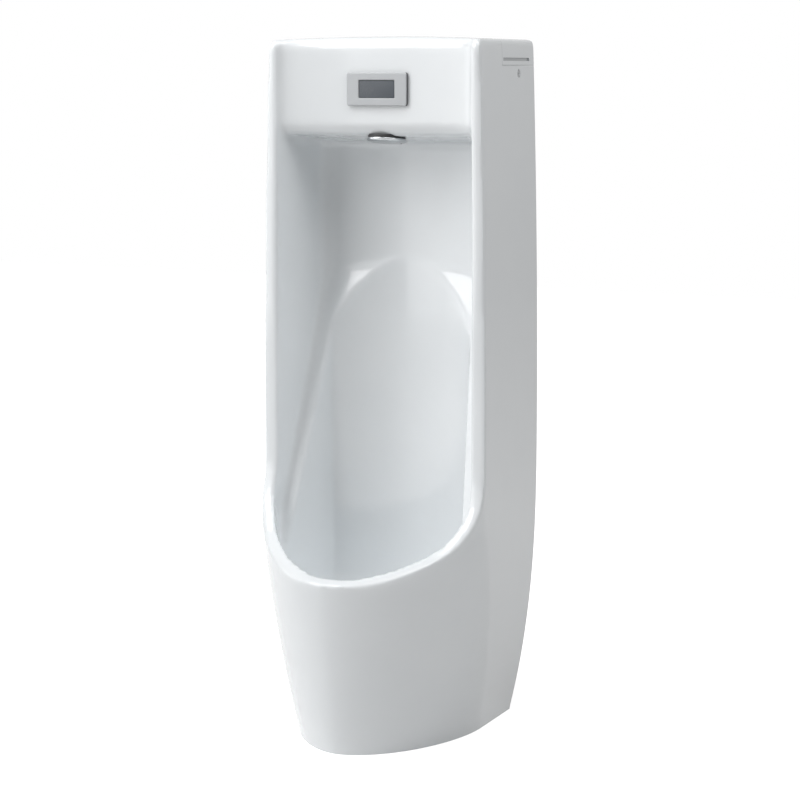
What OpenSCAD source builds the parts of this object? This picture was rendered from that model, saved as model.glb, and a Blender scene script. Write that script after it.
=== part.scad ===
// A floor-standing sensor urinal in glazed china, with its back to a wall.
// X runs across, Y from the lip (minus) to the wall (plus), Z up from the floor.

/* [Body outline] */
// Height of the china over the floor
body_h = 1000; // [970:1:1030]
// Depth from the wall to the tip of the lip
body_d = 335; // [325:1:345]
// Width at the widest place
waist_w = 353; // [348:1:359]
// Height of the widest place
waist_z = 403; // [396:1:420]
// Width on the floor
base_w = 272; // [266:1:288]
// Width at the top
top_w = 329; // [325:1:336]
// Depth of the foot on the floor
foot_d = 306; // [300:1:315]
// Depth of the upper part, from the wall to the front of the rims
upper_d = 188; // [184:1:192]
// Power of the curve of the sides below the widest place
low_curve = 2.5; // [2:0.1:3]
// Power of the curve of the sides above the widest place
high_curve = 1.9; // [1.5:0.1:2.5]
// Power of the nose's outline in plan, where 2 is an ellipse
nose_power = 1.74; // [1.68:0.02:2]
// Length of the straight side in plan on the floor
foot_side = 108; // [98:1:118]
// Length of the straight side in plan at the lip
lip_side = 157; // [148:1:165]
// Height at which the plan becomes square
square_z = 376; // [370:1:390]
// Fall of the top from its middle to its sides
crown = 4; // [2:0.5:6]
// Radius of the front top edge
front_edge_r = 18; // [12:1:22]
// Radius of the side top edges
side_edge_r = 12; // [8:1:14]
// Radius of the upright rear corners
rear_corner_r = 3; // [2:0.5:6]

/* [Rim] */
// Height of the lip's tip
lip_z = 251; // [240:1:262]
// Slope of the rim behind the lip, in degrees
rim_slope = 26; // [22:1:32]
// Slope of the rim at the tip of the lip, in degrees
tip_slope = 6; // [2:1:12]
// Radius of the rim's sweep from upright to the slope
sweep_r = 130; // [112:1:136]
// Radius of the rim's turn at the tip
tip_r = 90; // [60:1:100]
// Width of the rim
rim_w = 20; // [18:0.5:22]
// Share of the sides' upper taper that the niche follows
niche_taper = 0.35; // [0:0.05:0.6]

/* [Niche] */
// Width of the niche's rear wall
niche_rear_w = 280; // [270:1:290]
// Depth of the niche behind the rims, at its rear corners
niche_depth = 111; // [105:1:115]
// Hollow of the rear wall at its middle
niche_bulge = 8; // [4:0.5:10]
// Radius of the niche's rear corners
niche_corner_r = 24; // [15:1:30]
// Distance of the sensor panel's lower edge under the top
ceiling_drop = 124; // [115:1:140]
// Height of the steep edge under the panel
edge_h = 14; // [10:0.5:16]
// Depth of the steep edge
edge_d = 8.5; // [6:0.5:10]
// Slope of the ceiling behind the edge, down to the rear, in degrees
ceiling_slope = 7; // [5:0.2:9]
// Thickness of the china around the niche and the bowl
china_t = 13; // [11:0.5:14]
// Thickness of the outer walls
wall_t = 14; // [12:0.5:15]

/* [Sensor panel] */
// Depth of the hollow of the panel behind the rims
panel_depth = 21; // [16:0.5:23]
// Half width of the hollow
panel_half_w = 152; // [148:1:154]
// Power of the hollow's curve in plan
panel_power = 2.6; // [2:0.1:3.2]
// Thickness of the panel at its middle
panel_t = 12; // [11:0.5:12.5]

/* [Bowl] */
// Height of the bowl's floor
bowl_z = 150; // [145:1:160]
// Half width of the bowl at its rear corners
bowl_half_w = 112; // [108:1:116]
// Y of the bowl's rear corners
bowl_corner_y = 70; // [66:1:74]
// Hollow of the bowl's rear wall
bowl_bulge = 27.5; // [22:0.5:29]
// Flare of the bowl's sides towards the front, sideways per millimetre
bowl_flare = 0.3; // [0.25:0.01:0.34]
// Radius between the bowl's walls and its floor
bowl_floor_r = 66; // [50:1:70]
// Height of the ridge under the front of the rims
ridge_z = 272; // [262:1:282]
// Slope of the ridge, in degrees
ridge_slope = 73.8; // [72:0.2:76]

/* [Lid] */
// Depth of the lid from the wall
lid_len = 113; // [105:1:120]
// Height of the lid's sides, from its seat to the top of the china
lid_side_h = 41; // [36:1:44]
// Gap of the seam around the lid
lid_seam = 0.6; // [0.4:0.1:1]
// Thickness of the lid
lid_t = 4.5; // [4:0.1:5]
// Height of the finger groove
groove_h = 4.5; // [3:0.5:6]
// Depth of the finger groove
groove_depth = 2.5; // [1.5:0.1:2.8]
// Height of the groove over the lid's seat
groove_rise = 6.5; // [5:0.5:9]
// Length of the groove
groove_len = 92; // [70:1:96]

/* [Lid lock] */
// Diameter of the lock's head
lock_head_d = 11; // [9:0.5:13]
// Diameter of the lock's barrel
lock_d = 8; // [7:0.5:9]
// Distance of the lock from the wall
lock_from_wall = 55; // [50:1:60]
// Distance of the lock under the lid's seat
lock_drop = 10.5; // [10:0.5:13]
// Length of the cam from the lock's axis
cam_len = 13; // [11:0.5:14]
// Width of the cam
cam_w = 7; // [6:0.5:8]
// Thickness of the cam
cam_t = 4; // [3:0.5:5]

/* [Sensor] */
// Width of the bezel
bezel_w = 94; // [88:1:98]
// Height of the bezel
bezel_h = 46; // [42:1:50]
// Stand of the bezel over the panel
bezel_t = 5.5; // [4:0.1:6.5]
// Radius of the bezel's corners
bezel_r = 3; // [2:0.5:5]
// Distance of the sensor's middle under the top
sensor_drop = 73; // [69:1:78]
// Width of the window
window_w = 55; // [50:1:60]
// Height of the window
window_h = 24; // [20:1:28]
// Thickness of the window
window_t = 2.4; // [2:0.1:2.8]
// Width of the hole in the panel
hole_w = 84; // [80:1:86]
// Height of the hole in the panel
hole_h = 34; // [32:1:37]
// Depth of the sensor's housing behind the panel's face
housing_d = 20; // [18:0.5:21]
// Wall of the plastic housings
shell_t = 2.5; // [2:0.1:3]
// Diameter of the infrared domes
dome_d = 5; // [4:0.5:6]

/* [Spreader] */
// Distance of the spreader behind the front of the rims
spreader_in = 49; // [47:0.5:52]
// Diameter of the chrome disc
disc_d = 58; // [56:1:62]
// Thickness of the disc
disc_t = 7; // [6:0.5:9]
// Diameter of the dark ring
ring_d = 53; // [50:0.5:54]
// Thickness of the dark ring
ring_t = 5; // [4:0.5:6]
// Depth of the ring's seat in the ceiling
ring_in = 2.5; // [1.5:0.5:3.5]
// Diameter of the spreader's thread
thread_d = 20.8; // [20.4:0.1:21.2]
// Diameter of the water way
bore_d = 13; // [11:0.5:14]
// Clearance of a thread in its hole through the china
hole_slack = 1.6; // [1:0.1:2]

/* [Flush valve] */
// Distance of the valve's axis from the wall
valve_from_wall = 67; // [64:1:70]
// Diameter of the valve's body
valve_d = 44; // [40:1:46]
// Height of the valve's body
valve_h = 30; // [28:1:32]
// Diameter of the ports
port_d = 24; // [22:1:25]
// Diameter of the flush pipe
pipe_d = 16; // [15:0.5:18]
// Diameter of the coil
coil_d = 34; // [30:1:38]
// Height of the coil
coil_h = 26; // [24:1:28]
// Diameter of the plunger
plunger_d = 9; // [8:0.5:10]
// Length of the plunger
plunger_len = 22; // [18:1:24]
// Travel of the plunger
plunger_travel = 3; // [2:0.5:4]
// Clearance around the plunger and the spindle
running_gap = 0.05; // [0.03:0.01:0.08]
// Distance of the stop valve to the side of the flush valve
stop_side = 74; // [72:1:80]
// Diameter of the stop valve's body
stop_d = 30; // [28:1:32]
// Diameter of the stop valve's spindle
spindle_d = 9; // [8:0.5:10]
// Diameter of the inlet's thread
inlet_d = 20.95; // [20.5:0.05:21.2]

/* [Control box] */
// Width of the box
box_w = 84; // [80:1:86]
// Depth of the box
box_d = 66; // [62:1:70]
// Height of the box
box_h = 56; // [50:1:60]
// Distance of the box's side from the middle
box_x = 52; // [50:1:54]
// Distance of the box behind the panel's rear face
box_in = 27; // [26:1:29]
// Thickness of the box's cover
cover_t = 3; // [2.5:0.1:4]
// Diameter of a battery
cell_d = 14.5; // [14:0.1:15]
// Length of a battery
cell_len = 50.5; // [49:0.5:52]
// Number of batteries
cell_n = 4; // [2:1:4]
// Diameter of the leads
lead_d = 4; // [3:0.5:5]
// Thickness of the steel sheet
sheet_t = 2; // [1.5:0.1:3]

/* [Drain] */
// Distance of the drain in front of the middle of the base
drain_in = 18; // [12:1:22]
// Diameter of the drain's flange
flange_d = 98; // [94:1:100]
// Thickness of the drain's flange
flange_t = 4; // [3:0.5:5]
// Outer diameter of the socket
socket_d = 78; // [74:1:80]
// Wall of the socket
socket_t = 3; // [2.5:0.5:4]
// Height of the socket's underside over the floor
socket_z = 25; // [18:1:30]
// Height of the outlet's axis over the floor
outlet_z = 92; // [88:1:94]
// Outer diameter of the outlet pipe
outlet_d = 50; // [48:1:50]
// Wall of the outlet pipe
outlet_t = 3; // [2.5:0.5:4]
// Diameter of the cup's dip tube
dip_d = 42; // [38:1:46]
// Diameter of the strainer
strainer_d = 92; // [86:1:94]
// Number of slots in the strainer
slot_n = 12; // [8:1:16]

/* [Wall fixing] */
// Height of the rail across the back
rail_h = 30; // [26:1:32]
// Distance between the two wall screws
screw_span = 240; // [220:1:250]
// Diameter of the screw holes
screw_hole_d = 10; // [8:0.5:12]

/* [Hidden] */
$fn = 64;

china = "white";
steel = "silver";
brass = "goldenrod";
resin = "gainsboro";
black = "dimgray";

// Clearance between two fitted pieces of one assembly
fit_gap = 0.2;
// Gap between a moving piece and its seat
seat_gap = 0.3;
eps = 1;

wall_y = body_d / 2;
tip_y = -body_d / 2;
rim_y = wall_y - upper_d;
panel_y = rim_y + panel_depth;
panel_back = panel_y + panel_t;
lid_y = wall_y - lid_len;
lid_z = body_h - lid_side_h;
rail_z = lid_z - 4;
ceiling_z = body_h - ceiling_drop;
sensor_z = body_h - sensor_drop;
drain_y = -drain_in;

// The rim's side view: two arcs and the slope between them
tip_fall = tip_r * (cos(tip_slope) - cos(rim_slope));
slope_end_y = tip_y + tip_r * (sin(rim_slope) - sin(tip_slope));
slope_end_z = lip_z + tip_fall;
slope_start_y = rim_y - sweep_r * (1 - sin(rim_slope));
slope_start_z = slope_end_z + (slope_start_y - slope_end_y) * tan(rim_slope);
sweep_z = slope_start_z + sweep_r * cos(rim_slope);

function smooth(t) = let (u = min(max(t, 0), 1)) u * u * (3 - 2 * u);
function round_in(r, rise) = rise <= 0 ? 0 : r - sqrt(max(r * r - rise * rise, 0));
function lerp(a, b, t) = a + (b - a) * t;
function steps(a, b, n) = [for (k = [1:n]) lerp(a, b, k / n)];

// Half width of the outside at a height
function half_width(z) = z < waist_z
    ? waist_w / 2 - (waist_w - base_w) / 2 * pow(1 - max(z, 0) / waist_z, low_curve)
    : waist_w / 2 - (waist_w - top_w) / 2
        * pow((min(z, body_h) - waist_z) / (body_h - waist_z), high_curve);
// Length of the straight side in plan at a height
function side_len(z) = z <= lip_z
    ? lerp(foot_side, lip_side, max(z, 0) / lip_z)
    : lerp(lip_side, upper_d + 8, smooth((z - lip_z) / (square_z - lip_z)));
// Depth of the nose in plan at a height
function nose_depth(z) = lerp(foot_d, body_d, min(max(z, 0) / lip_z, 1));
// Half width of the inside at the rims
function inner_half(z) = z < waist_z ? half_width(z) - rim_w
    : waist_w / 2 - rim_w - niche_taper * (waist_w / 2 - half_width(z));

// Height of the ceiling behind the steep edge, and of the ridge, at a depth
function ceiling_at(y) = ceiling_z - edge_h - (y - panel_y - edge_d) * tan(ceiling_slope);
function ridge_at(y) = ridge_z + (y - rim_y) * tan(ridge_slope);

nose_steps = 12;
// The nose in plan, from the end of the straight side to the tip
function nose_points(half, side_y, nose_y) = [for (k = [0:nose_steps])
    let (t = 90 * k / nose_steps)
    [half * pow(cos(t), 2 / nose_power),
     side_y - (side_y - nose_y) * pow(sin(t), 2 / nose_power)]];
// A whole ring from its right half, rear to nose, seen clockwise from above
function ring(half, z) = let (n = len(half)) concat(
    [for (p = half) [p[0], p[1], z]],
    [for (k = [n - 2:-1:half[0][0] > 0 ? 0 : 1]) [-half[k][0], half[k][1], z]]);

function corner_points(x, y, r, n) = [for (k = [0:n])
    [x - r + r * sin(90 * k / n), y - r + r * cos(90 * k / n)]];
// Right half of the outside, inset by i, with its rear at rear_y
function outer_half(z, i, rear_y, r) = concat(
    corner_points(half_width(z) - i, rear_y, r, 3),
    nose_points(half_width(z) - i, wall_y - side_len(z), wall_y - nose_depth(z) + i));
// Right half of the niche, grown by g
function niche_half(z, g) = let (
        w = niche_rear_w / 2 + g, y = rim_y + niche_depth + g, r = niche_corner_r + g)
    concat(
        [for (k = [0:3]) let (x = (w - r) * k / 3)
            [x, y + niche_bulge * (1 - pow(x / w, 2))]],
        [for (k = [1:4]) let (a = 90 * k / 4)
            [w - r + r * sin(a), y - r + r * cos(a)]],
        nose_points(inner_half(z) + g, wall_y - side_len(z),
            wall_y - nose_depth(z) + rim_w + 3 - g));
// Right half of the bowl, grown by g, with its round edge to the floor
function bowl_half(z, g) = let (
        r = bowl_floor_r + g, rise = bowl_z - g + r - z, i = round_in(r, rise) - g,
        w = bowl_half_w - i)
    concat(
        [for (k = [0:6]) let (x = w * k / 6)
            [x, bowl_corner_y - i + bowl_bulge * (1 - pow(k / 6, 2))]],
        [for (p = nose_points(inner_half(z) - i, min(wall_y - side_len(z), bowl_corner_y - i - 4),
                wall_y - nose_depth(z) + rim_w + i))
            [min(p[0], w + bowl_flare * (bowl_corner_y - i - p[1])), p[1]]]);
// Heights of the outside's rings up to the round top edge
outer_levels = concat([0], steps(0, lip_z, 7), steps(lip_z, waist_z, 6),
    steps(waist_z, body_h - side_edge_r, 6));
// Width of the widest ring
body_w = 2 * max([for (z = outer_levels) half_width(z)]);
bowl_top = ridge_at(rim_y + niche_depth + niche_bulge) + 20;
function bowl_levels(g) = concat(
    [for (k = [0:6]) bowl_z - g + (bowl_floor_r + g) * (1 - cos(90 * k / 6))],
    steps(bowl_z + bowl_floor_r, square_z, 7), [bowl_top]);

// A closed skin over rings with the same count of points
module loft(rings) {
    n = len(rings[0]);
    m = len(rings);
    polyhedron(
        points = [for (r = rings) each r],
        faces = concat(
            [[for (i = [n - 1:-1:0]) i]],
            [[for (i = [0:n - 1]) (m - 1) * n + i]],
            [for (j = [0:m - 2], i = [0:n - 1])
                let (a = j * n + i, b = j * n + (i + 1) % n)
                each [[a, b, b + n], [a, b + n, a + n]]]));
}
module across(width) rotate([90, 0, 90]) linear_extrude(width, center = true) children();
module block(x, y, z) translate([x[0], y[0], z[0]])
    cube([x[1] - x[0], y[1] - y[0], z[1] - z[0]]);
module tube(d, bore, h) difference() {
    cylinder(d = d, h = h);
    translate([0, 0, -eps]) cylinder(d = bore, h = h + 2 * eps);
}
module hex_nut(across_flats, bore, h) difference() {
    cylinder(d = across_flats / cos(30), h = h, $fn = 6);
    translate([0, 0, -eps]) cylinder(d = bore, h = h + 2 * eps);
}
module round_plate(w, h, r, t) linear_extrude(t) union() {
    square([w - 2 * r, h], center = true);
    square([w, h - 2 * r], center = true);
    for (x = [-1, 1], y = [-1, 1])
        translate([x * (w / 2 - r), y * (h / 2 - r)]) circle(r);
}
// Stands a piece drawn on the XY plane upright on a plane of constant Y, facing the front
module facing_front(y, z) translate([0, y, z]) rotate([90, 0, 0]) children();

// The outside before the rim is cut, inset by i, with its top lowered by i
module outer_form(i) intersection() {
    loft(concat(
        [for (z = outer_levels) ring(outer_half(z, i, wall_y, rear_corner_r), z)],
        [for (k = [1:3]) let (a = 30 * k, z = body_h - side_edge_r + side_edge_r * sin(a))
            ring(outer_half(z, i + side_edge_r * (1 - cos(a)), wall_y, rear_corner_r), z)]));
    rotate([90, 0, 0]) linear_extrude(body_d + 2 * eps, center = true)
        polygon(concat(
            [[waist_w / 2, -eps], [waist_w / 2, body_h / 2]],
            [for (k = [8:-1:-8]) let (x = top_w / 2 * k / 8)
                [x, body_h - i - crown * pow(k / 8, 2)]],
            [[-waist_w / 2, body_h / 2], [-waist_w / 2, -eps]]));
}
// What is in front of the rim, seen from the side
module rim_cut() across(waist_w + 2 * eps) polygon(concat(
    [[tip_y - eps, lip_z]],
    [for (k = [0:3]) let (a = lerp(tip_slope, rim_slope, k / 3))
        [slope_end_y - tip_r * (sin(rim_slope) - sin(a)),
         slope_end_z - tip_r * (cos(a) - cos(rim_slope))]],
    [for (k = [0:8]) let (a = lerp(90 - rim_slope, 0, k / 8))
        [rim_y - sweep_r * (1 - cos(a)), sweep_z - sweep_r * sin(a)]],
    [for (k = [0:4]) let (a = 90 * k / 4)
        [rim_y + front_edge_r * (1 - cos(a)), body_h - front_edge_r * (1 - sin(a))]],
    [[rim_y + front_edge_r, body_h + eps], [tip_y - eps, body_h + eps]]));
// The hollow in front of the sensor panel, which runs back under the panel to the ceiling
module panel_cut() loft([for (k = [-2:4])
    let (z = k == -2 ? ceiling_z - edge_h - 3 : k == -1 ? ceiling_z
            : body_h - front_edge_r * (1 - sin(22.5 * k)) - (k == 0 || k == 4 ? 0 : 0.5),
        lift = k == -2 ? edge_d * (edge_h + 3) / edge_h
            : k == -1 ? 0 : front_edge_r * (1 - cos(22.5 * k)))
    concat(
        [for (a = [-90:10:90]) [panel_half_w * sin(a),
            rim_y - 0.3 + lift
                + (panel_depth + 0.3) * pow(1 - pow(abs(sin(a)), panel_power), 1 / panel_power),
            k == 4 ? z + eps : z]],
        [[panel_half_w, rim_y - rim_w, k == 4 ? z + eps : z],
         [-panel_half_w, rim_y - rim_w, k == 4 ? z + eps : z]])]);
// The niche above the ridge, grown by g
module niche_form(g) intersection() {
    loft([for (z = [bowl_z, lip_z, lerp(lip_z, square_z, 0.5), square_z, waist_z,
            lerp(waist_z, ceiling_z + 30, 3 / 7), ceiling_z + 30]) ring(niche_half(z, g), z)]);
    across(waist_w) polygon([
        [wall_y, ceiling_at(wall_y) + g / cos(ceiling_slope)],
        [tip_y, ceiling_at(tip_y) + g / cos(ceiling_slope)],
        [tip_y, ridge_z - 45],
        [rim_y + (-45 + g / cos(ridge_slope)) / tan(ridge_slope), ridge_z - 45],
        [wall_y, ridge_at(wall_y) - g / cos(ridge_slope)]]);
}
module bowl_form(g) loft([for (z = bowl_levels(g)) ring(bowl_half(z, g), z)]);
// The hollow behind and under the china's inner skin, open to the wall and the floor
module service_space() difference() {
    loft([for (z = concat([-eps], steps(0, lip_z, 4), steps(lip_z, waist_z, 3),
            steps(waist_z, body_h - wall_t, 3)))
        ring(outer_half(z, wall_t, wall_y + eps, eps), z)]);
    niche_form(china_t);
    bowl_form(china_t);
    block([-waist_w, waist_w], [tip_y - eps, panel_back], [ceiling_z - 40, body_h]);
    // The rail across the back that the wall screws go through
    block([-waist_w, waist_w], [wall_y - wall_t, wall_y + 2 * eps], [rail_z - rail_h, rail_z]);
}

spreader_y = rim_y + spreader_in;
spreader_z = ceiling_at(spreader_y) + ring_in / cos(ceiling_slope);
// Thickness of the china over the ring's seat
seat_t = china_t - ring_in;
// Places a piece on the ring's seat in the ceiling, its Z square to the china
module on_ceiling() translate([0, spreader_y, spreader_z])
    rotate([-ceiling_slope, 0, 0]) children();

lock_y = wall_y - lock_from_wall;
lock_z = lid_z - lock_drop;
lock_x = half_width(lock_z);
lock_inner_x = lock_x - wall_t;
// Distance of the cam from the china, with room for the clip
cam_gap = 1.4;
clip_seat = 8;
module on_lock(x) translate([x, lock_y, lock_z]) rotate([0, 90, 0]) children();

socket_hole_d = socket_d + 2 * hole_slack;
rebate_d = flange_d + 2 * fit_gap;
gasket_t = 2;
rebate_t = flange_t + gasket_t;

module ceramic_body() color(china) difference() {
    resize([body_w, body_d, body_h]) difference() {
        outer_form(0);
        rim_cut();
        panel_cut();
        niche_form(0);
        bowl_form(0);
        service_space();
        block([-waist_w, waist_w], [lid_y, wall_y + eps], [lid_z, body_h + eps]);
        block([-hole_w / 2, hole_w / 2], [rim_y, panel_back + eps],
            [sensor_z - hole_h / 2, sensor_z + hole_h / 2]);
    }
    on_ceiling() translate([0, 0, -eps])
        cylinder(d = thread_d + 2 * hole_slack, h = china_t + 8);
    on_ceiling() translate([0, 0, -3 * ring_in]) cylinder(d = ring_d + 5 * fit_gap, h = 3 * ring_in);
    on_lock(lock_inner_x - 2 * eps) cylinder(d = lock_d + 2 * fit_gap, h = wall_t + 4 * eps);
    on_lock(lock_x - 2.4) cylinder(d = lock_head_d + 4 * fit_gap, h = 5);
    // A flat seat for the lock's clip
    on_lock(lock_inner_x - clip_seat) cylinder(d = lock_d + clip_seat, h = clip_seat);
    translate([0, drain_y, bowl_z - china_t - eps])
        cylinder(d = socket_hole_d, h = china_t + 2 * eps);
    translate([0, drain_y, bowl_z - rebate_t]) cylinder(d = rebate_d, h = rebate_t + eps);
    for (x = [-1, 1]) translate([x * screw_span / 2, wall_y + eps, rail_z - rail_h / 2])
        rotate([90, 0, 0]) cylinder(d = screw_hole_d, h = wall_t + 2 * eps);
}

lid_seat_z = lid_z + lid_seam;
lid_front_y = lid_y + lid_seam;
catch_t = 2.5;
catch_x = lock_inner_x - cam_gap - cam_t - 3 - catch_t;
lug_w = 8;
lug_h = 4.5;
lug_top = lock_z - cam_w / 2 - 2;
lid_w = 2 * max(half_width(lid_seat_z), half_width(body_h - side_edge_r));
module top_lid() color(resin)
    resize([lid_w, wall_y - lid_front_y, body_h - lid_seat_z]) difference() {
        intersection() {
            outer_form(0);
            block([-waist_w, waist_w], [lid_front_y, wall_y], [lid_seat_z, body_h + eps]);
        }
        intersection() {
            outer_form(lid_t);
            block([-waist_w, waist_w], [lid_front_y - eps, wall_y - lid_t],
                [lid_seat_z - eps, body_h]);
        }
        for (x = [-1, 1]) translate([x * half_width(lid_seat_z), lid_front_y + groove_len / 2 + 4,
                lid_seat_z + groove_rise + groove_h / 2])
            cube([2 * groove_depth, groove_len, groove_h], center = true);
    }
// The bent catch under the lid that the lock's cam holds
catch_top = body_h - lid_t - crown * pow((catch_x + catch_t) / (top_w / 2), 2) - 0.1;
catch_foot = 12;
module lid_catch() color(steel) union() {
    block([catch_x, catch_x + catch_t], [lock_y + cam_w / 2 + 2, lock_y + cam_len + 4],
        [lug_top - lug_h, catch_top]);
    block([catch_x - catch_foot, catch_x + eps / 2], [lock_y + cam_w / 2 + 2, lock_y + cam_len + 4],
        [catch_top - catch_t, catch_top]);
    block([catch_x + catch_t - 0.5, lock_inner_x - cam_gap - 2], [lock_y + cam_w / 2 + 2,
        lock_y + cam_w / 2 + 2 + lug_w], [lug_top - lug_h, lug_top]);
}

// The cam stands up when unlocked and lies over the lid's lug when locked
module lid_lock() color(steel) difference() {
    union() {
        on_lock(lock_inner_x - cam_t - cam_gap) cylinder(d = lock_d, h = wall_t + cam_t + cam_gap - 1);
        on_lock(lock_x - 2) cylinder(d = lock_head_d, h = 2);
        block([lock_inner_x - cam_t - cam_gap, lock_inner_x - cam_gap],
            [lock_y - cam_w / 2, lock_y + cam_w / 2], [lock_z, lock_z + cam_len]);
    }
    block([lock_x - 1, lock_x + eps], [lock_y - 4, lock_y + 4], [lock_z - 0.6, lock_z + 0.6]);
}
module lock_clip() color(steel) on_lock(lock_inner_x - cam_gap)
    tube(lock_d + 4, lock_d + 2 * running_gap, cam_gap - 0.4);

bezel_front = panel_y - bezel_t;
bezel_back = panel_y - 0.5;
window_front = bezel_front + 1.2;
module sensor_bezel() color(steel) difference() {
    facing_front(bezel_back, sensor_z)
        round_plate(bezel_w, bezel_h, bezel_r, bezel_back - bezel_front);
    facing_front(bezel_back + eps, sensor_z) linear_extrude(bezel_t + 2 * eps)
        square([window_w + 2 * fit_gap, window_h + 2 * fit_gap], center = true);
}
module sensor_window() color("darkslategray")
    facing_front(window_front + window_t, sensor_z) linear_extrude(window_t)
        square([window_w, window_h], center = true);

housing_w = hole_w - 3;
housing_h = hole_h - 3;
housing_front = bezel_back;
housing_back = panel_y + housing_d;
module sensor_housing() color(resin) difference() {
    block([-housing_w / 2, housing_w / 2], [housing_front, housing_back],
        [sensor_z - housing_h / 2, sensor_z + housing_h / 2]);
    block([-housing_w / 2 + shell_t, housing_w / 2 - shell_t],
        [housing_front - eps, housing_back - shell_t],
        [sensor_z - housing_h / 2 + shell_t, sensor_z + housing_h / 2 - shell_t]);
    for (x = [-1, 1]) facing_front(housing_back + eps, sensor_z) translate([x * strap_pitch / 2, 0, 0])
        cylinder(d = screw_d, h = shell_t + 2 * eps);
}
board_y = window_front + window_t + 6;
module sensor_board() color("darkgreen")
    block([-housing_w / 2 + shell_t + fit_gap, housing_w / 2 - shell_t - fit_gap],
        [board_y, board_y + 1.6],
        [sensor_z - housing_h / 2 + shell_t + fit_gap, sensor_z + housing_h / 2 - shell_t - fit_gap]);
module ir_emitters() color("midnightblue") for (x = [-1, 1])
    facing_front(board_y, sensor_z) translate([x * window_w / 4, 0, 0]) {
        cylinder(d = dome_d, h = 2.5);
        translate([0, 0, 2.5]) sphere(d = dome_d);
    }

screw_d = 3;
strap_h = 20;
strap_pitch = 30;
strap_w = hole_w + 20;
// A strap across the housing, with legs against the panel's rear
module clamp_strap() color(steel) difference() {
    union() {
        block([-strap_w / 2, strap_w / 2], [housing_back, housing_back + sheet_t],
            [sensor_z - strap_h / 2, sensor_z + strap_h / 2]);
        for (s = [-1, 1]) translate([s * (strap_w / 2 - sheet_t / 2), 0, 0])
            block([-sheet_t / 2, sheet_t / 2], [panel_back, housing_back + sheet_t],
                [sensor_z - strap_h / 2, sensor_z + strap_h / 2]);
    }
    for (x = [-1, 1]) facing_front(housing_back + sheet_t + eps, sensor_z)
        translate([x * strap_pitch / 2, 0, 0]) cylinder(d = screw_d + 2 * fit_gap, h = sheet_t + 2 * eps);
}
module clamp_screws() color(steel) for (x = [-1, 1])
    facing_front(housing_back + sheet_t, sensor_z) translate([x * strap_pitch / 2, 0, 0]) {
        translate([0, 0, -2.2]) cylinder(d = 6, h = 2.2);
        translate([0, 0, -eps / 2]) cylinder(d = screw_d - 2 * fit_gap, h = sheet_t + shell_t + eps / 2);
    }

disc_slot_r = 20;
spreader_tail = seat_t + 19;
module spreader_head() color(steel) on_ceiling() difference() {
    union() {
        translate([0, 0, -ring_t - disc_t]) rotate_extrude()
            polygon([[0, 0], [disc_slot_r - 9, 0.3], [disc_d / 2 - 5, 1.4], [disc_d / 2 - 1.5, 3],
                [disc_d / 2, 4.6], [disc_d / 2, disc_t - 0.8], [disc_d / 2 - 0.8, disc_t], [0, disc_t]]);
        translate([0, 0, -ring_t - eps]) cylinder(d = thread_d, h = ring_t + spreader_tail + eps);
    }
    translate([0, 0, -ring_t]) cylinder(d = bore_d, h = ring_t + spreader_tail + eps);
    // The curved slot that spreads the water over the rear wall
    translate([0, 0, -ring_t - disc_t - eps]) rotate([0, 0, 20]) rotate_extrude(angle = 140)
        translate([disc_slot_r, 0]) square([2.2, disc_t - 1.4]);
}
module spreader_gasket() color(black) on_ceiling()
    translate([0, 0, -ring_t]) tube(ring_d, thread_d + 2 * fit_gap, ring_t - 0.05);
nut_af = 28;
module spreader_washer() color(black) on_ceiling()
    translate([0, 0, seat_t]) tube(nut_af + 2, thread_d + 2 * fit_gap, 2);
module spreader_nut() color(brass) on_ceiling()
    translate([0, 0, seat_t + 2]) hex_nut(nut_af, thread_d + 2 * fit_gap, 7);

// The elbow turns the flush pipe down into the spreader
elbow_start = seat_t + 10;
elbow_rise = spreader_tail + 7;
elbow_y = spreader_y + elbow_rise * sin(ceiling_slope);
water_z = spreader_z + elbow_rise * cos(ceiling_slope);
elbow_len = 22;
elbow_d = port_d + 2;
module on_elbow(y) translate([0, elbow_y + y, water_z]) rotate([-90, 0, 0]) children();
module spreader_elbow() color(brass) difference() {
    union() {
        on_ceiling() translate([0, 0, elbow_start]) cylinder(d = elbow_d, h = elbow_rise - elbow_start);
        translate([0, elbow_y, water_z]) sphere(d = elbow_d + 2);
        on_elbow(0) cylinder(d = port_d, h = elbow_len);
    }
    on_ceiling() translate([0, 0, elbow_start - eps])
        cylinder(d = thread_d + 2 * fit_gap, h = spreader_tail - elbow_start + eps + fit_gap);
    on_ceiling() translate([0, 0, elbow_start]) cylinder(d = bore_d, h = elbow_rise - elbow_start + 2);
    on_elbow(0) cylinder(d = bore_d - 1, h = elbow_len);
    on_elbow(elbow_len - 10) cylinder(d = pipe_d + 2 * fit_gap, h = 10 + eps);
}

valve_y = wall_y - valve_from_wall;
port_len = 36;
pipe_start_y = elbow_y + elbow_len - 10;
pipe_end_y = valve_y - port_len + 8;
module flush_pipe() color(steel) translate([0, pipe_start_y, water_z]) rotate([-90, 0, 0])
    tube(pipe_d, pipe_d - 3, pipe_end_y - pipe_start_y);
union_af = 30;
union_len = 14;
module pipe_nut() color(brass) translate([0, valve_y - port_len - 4, water_z]) rotate([-90, 0, 0])
    difference() {
        cylinder(d = union_af / cos(30), h = union_len, $fn = 6);
        translate([0, 0, -eps]) cylinder(d = pipe_d + 2 * fit_gap, h = union_len + 2 * eps);
        translate([0, 0, 4]) cylinder(d = port_d + 2 * fit_gap, h = union_len);
    }

valve_top = water_z + valve_h / 2;
valve_low = water_z - valve_h / 2;
chamber_d = valve_d - 8;
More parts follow.
